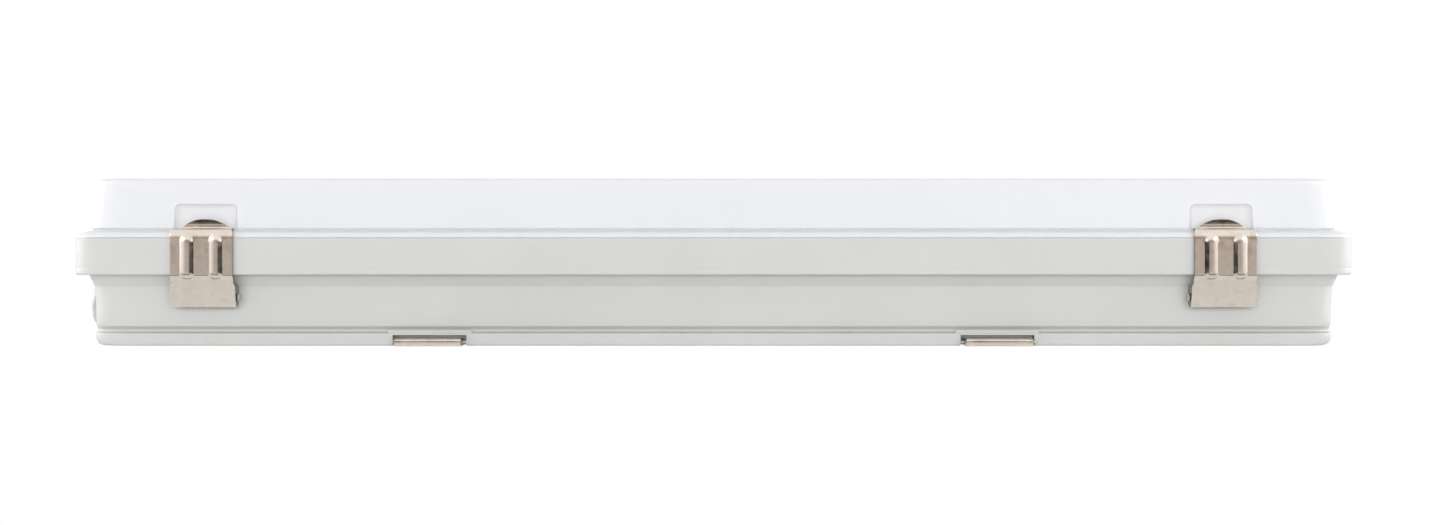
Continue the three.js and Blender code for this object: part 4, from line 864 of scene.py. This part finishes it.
def copy_of(piece, name):
    """A copy with its own mesh."""
    twin = piece.copy()
    twin.data = piece.data.copy()
    twin.name = name
    bpy.context.collection.objects.link(twin)
    return twin


def move_mesh(piece, offset, half_turn=False):
    """Moves a piece's mesh, after half a turn about the upright axis where it is wanted."""
    start_editing(piece)
    bpy.ops.mesh.select_all(action="SELECT")
    if half_turn:
        bpy.ops.transform.rotate(value=math.pi, orient_axis="Z", center_override=(0, 0, 0))
    bpy.ops.transform.translate(value=offset)
    bpy.ops.object.mode_set(mode="OBJECT")


def corner_name(side, x):
    return ("front" if side < 0 else "back") + "_" + ("left" if x < 0 else "right")


def fit_at_latches(piece, prefix, material, slot, node_prefix):
    """Puts a copy of a front piece at each latch, turned half round at the back, and removes the piece."""
    for side, x in latch_spots:
        name = corner_name(side, x)
        twin = copy_of(piece, prefix + name)
        move_mesh(twin, (x, 0, 0), half_turn=side > 0)
        finish_piece(twin, material, "latch_" + name, slot, node_prefix + name)
    bpy.data.objects.remove(piece)


smooth(latch, 40)
fit_at_latches(latch, "clip_", steel, "latch", "latch_")

# Latch pins: zinc-plated steel wire, 2.4 mm thick, with both ends riveted over to a low head.
# Each runs through a latch's flanges and the housing's two ears, and the latch swings on it.
pin_radius, pin_half_length = 1.2, 17.0
head_radius, head_from, head_to, head_rounding = 2.1, 16.75, 17.6, 0.35


def pin_rod(radius, start, end, sides, bevel=0.0):
    """A rod on the line of the front latches' pins, between two distances from the latch's middle."""
    return add_rod(radius, (start, -pin_out, pin_height), (end, -pin_out, pin_height), sides, bevel)


pin = pin_rod(pin_radius, -pin_half_length, pin_half_length, 24)
heads = [pin_rod(head_radius, along * head_from, along * head_to, 28, head_rounding) for along in (-1, 1)]
combine(pin, heads, "UNION")
smooth(pin)

zinc_shades = (0.52, 0.53, 0.54), (0.66, 0.67, 0.69)
zinc, zinc_tree, zinc_shader, zinc_grain, zinc_colour = start_material(
    "zinc-plated steel", zinc_shades, 2200.0, 420.0, 0.32, metallic=1.0
)
end_material(zinc_tree, zinc_shader, zinc_grain, zinc_colour, (0.24, 0.42), 0.00001, 0.4)
fit_at_latches(pin, "pin_", zinc, "screws", "latch_pin_")

# Mounting brackets: strips of stainless steel across the back, 34 mm wide, their ends turned up and back in.
# The ends clip over a ledge at the housing's lip; two ceiling screws go through each bracket's slots.
bracket_path = [
    # distance out from the middle, height and the bend's radius, in millimetres
    (44.5, 3.4, 0.0), (59.9, 3.4, 0.9), (59.9, 0.6, 0.9),
    (-59.9, 0.6, 0.9), (-59.9, 3.4, 0.9), (-44.5, 3.4, 0.0),
]
bracket_half_width, bracket_sheet, bracket_columns = 17, 1.2, 8
cheek_in, cheek_from, cheek_to, cheek_low, cheek_high = 15.8, 51.8, 59.4, 0.6, 3.4
screw_slot_radius, screw_slot_reach, above_strip = 2.75, 4.25, 3
strip = bent_strip("bracket", bend(bracket_path, 9.0, 5), bracket_half_width, bracket_columns)
apply_step(strip, "SOLIDIFY", thickness=bracket_sheet / 1000, offset=0, use_even_offset=True)
cheeks = []
for along in (-1, 1):
    for side in (-1, 1):
        low = (along * cheek_in, side * cheek_from, cheek_low)
        cheeks.append(add_box(low, (along * bracket_half_width, side * cheek_to, cheek_high)))
combine(strip, cheeks, "UNION")
slots = []
for side in (-1, 1):
    middle = side * screw_away
    low = (-screw_slot_radius, middle - screw_slot_reach, -1)
    slots.append(add_box(low, (screw_slot_radius, middle + screw_slot_reach, above_strip)))
    for end in (middle - screw_slot_reach, middle + screw_slot_reach):
        slots.append(add_rod(screw_slot_radius, (0, end, -1), (0, end, above_strip), 32))
combine(strip, slots, "DIFFERENCE")
ease_edges(strip, 0.0002)
smooth(strip, 40)
for along, name in both_ends:
    hanger = copy_of(strip, "hanger_" + name)
    move_mesh(hanger, (along * bracket_x / 1000, 0, 0))
    finish_piece(hanger, steel, "fixture", "bracket", "bracket_" + name)
bpy.data.objects.remove(strip)

# Cable gland at the left end and blanking plug at the right: grey nylon, turned tight on a rubber washer.
# The gland's hexagon stays on the pad, and its nut squeezes a sleeve round the cable.
hexagon_radius, hexagon_from, hexagon_to, hexagon_rounding = 14.43, 324, 327, 0.5
thread_radius, thread_from, thread_to, thread_rounding = 9.7, 309, 325, 0.4
cable_radius, cable_room_from, cable_room_to = 5.2, 300, 340
nut_radius, dome_nut_radius, nut_from, nut_to, nut_rounding, behind_nut = 12.7, 12.6, 327.3, 332.8, 5.0, 320
plug_radius, plug_rounding, plug_bore_radius, plug_bore_from, plug_bore_to = 12.5, 0.8, 6.5, 300, 321
coin_slot_floor, coin_slot_half_width, coin_slot_reach, past_plug = 325.8, 1.2, 20, 330
gland = entry_rod(hexagon_radius, -hexagon_from, -hexagon_to, 6, hexagon_rounding)
combine(gland, [entry_rod(thread_radius, -thread_from, -thread_to, 48, thread_rounding)], "UNION")
combine(gland, [entry_rod(cable_radius, -cable_room_from, -cable_room_to)], "DIFFERENCE")
nut = entry_rod(nut_radius, -nut_from, -nut_to, 6)
combine(nut, [entry_rod(dome_nut_radius, -behind_nut, -nut_to, 72, nut_rounding)], "INTERSECT")
combine(nut, [entry_rod(cable_radius, -behind_nut, -cable_room_to)], "DIFFERENCE")
plug = entry_rod(plug_radius, hexagon_from, hexagon_to, 72, plug_rounding)
combine(plug, [entry_rod(thread_radius, thread_from, thread_to, 48, thread_rounding)], "UNION")
slot_low = (coin_slot_floor, -coin_slot_reach, entry_height - coin_slot_half_width)
coin_slot = add_box(slot_low, (past_plug, coin_slot_reach, entry_height + coin_slot_half_width))
combine(plug, [coin_slot, entry_rod(plug_bore_radius, plug_bore_from, plug_bore_to)], "DIFFERENCE")
grey_nylon = moulded_plastic("grey nylon", (0.50, 0.505, 0.50), (0.55, 0.555, 0.55), 0.38, broad=60.0)
gland_pieces = [
    (gland, "gland_hexagon", "gland_body"),
    (nut, "gland_dome_nut", "gland_nut"),
    (plug, "entry_plug", "blanking_plug"),
]
for piece, name, node in gland_pieces:
    smooth(piece)
    piece.name = name
    finish_piece(piece, grey_nylon, "fixture", "nylon_grey", node)

# Gear inside the housing: folded tray, light boards, driver, terminal block, screws, wires and the seal.
# The CAD shapes stay, and each gets the finish of the real one.
tray_paint = moulded_plastic(
    "white powder coat", (0.74, 0.74, 0.73), (0.80, 0.80, 0.79), 0.45, fine=900.0, bump=0.00003
)
driver_case = moulded_plastic("driver case", (0.62, 0.62, 0.60), (0.68, 0.68, 0.66), 0.5, broad=40.0)
terminal_nylon = moulded_plastic("terminal nylon", (0.66, 0.64, 0.58), (0.72, 0.70, 0.64), 0.4, broad=90.0)
white_nylon = moulded_plastic("white nylon", (0.70, 0.70, 0.68), (0.76, 0.76, 0.74), 0.4, broad=90.0)
seal_foam = moulded_plastic(
    "closed-cell foam", (0.045, 0.045, 0.047), (0.07, 0.07, 0.072), 0.85, fine=1600.0, bump=0.0001
)
wire_colours = {
    "wire_brown": (0.11, 0.045, 0.02),
    "wire_blue": (0.03, 0.10, 0.38),
    "wire_green": (0.07, 0.25, 0.05),
    "wire_red": (0.40, 0.02, 0.015),
    "wire_black": (0.02, 0.02, 0.02),
}

# the boards are white, and what stands above their face is the yellow phosphor of the LEDs
board_shades = (0.76, 0.76, 0.73), (0.81, 0.81, 0.79)
phosphor_colour, board_face = (0.85, 0.62, 0.16), 0.0520
board_mask, board_tree, board_shader, board_grain, board_colour = start_material(
    "white board", board_shades, 1800.0, 30.0, 0.35
)
board_place = add_node(board_tree, "ShaderNodeTexCoord", (-1300, -300))
board_split = add_node(board_tree, "ShaderNodeSeparateXYZ", (-1100, -300))
join_sockets(board_tree, board_place.outputs["Object"], board_split.inputs[0])
phosphor = add_node(board_tree, "ShaderNodeMath", (-900, -300))
phosphor.operation = "GREATER_THAN"
phosphor.inputs[1].default_value = board_face
join_sockets(board_tree, board_split.outputs["Z"], phosphor.inputs[0])
board_colour = mix_by(board_tree, "RGB", (-300, 300), phosphor.outputs[0], board_colour, phosphor_colour)
end_material(board_tree, board_shader, board_grain, board_colour, (0.28, 0.45), 0.00001, 0.4, (0.0, 1.0))

slot_materials = {
    "tray": tray_paint,
    "board": board_mask,
    "driver": driver_case,
    "terminal": terminal_nylon,
    "screws": zinc,
    "nylon_white": white_nylon,
    "nylon_grey": grey_nylon,
    "seal": seal_foam,
}
for slot, colour in wire_colours.items():
    bright = tuple(1.3 * value for value in colour)
    slot_materials[slot] = moulded_plastic(slot.replace("_", " ") + " pvc", colour, bright, 0.4, broad=120.0)
made_anew = {"housing", "lens", "bracket_left", "bracket_right", "gland_body", "gland_nut", "blanking_plug"}
for part in frame["record"]["subparts"]:
    name = part["node"]
    if name in made_anew or name.startswith("latch_"):
        continue
    cad_piece = frame["nodes"][name]
    cad_piece.data.materials.clear()
    cad_piece.data.materials.append(slot_materials[part["material_slot"]])
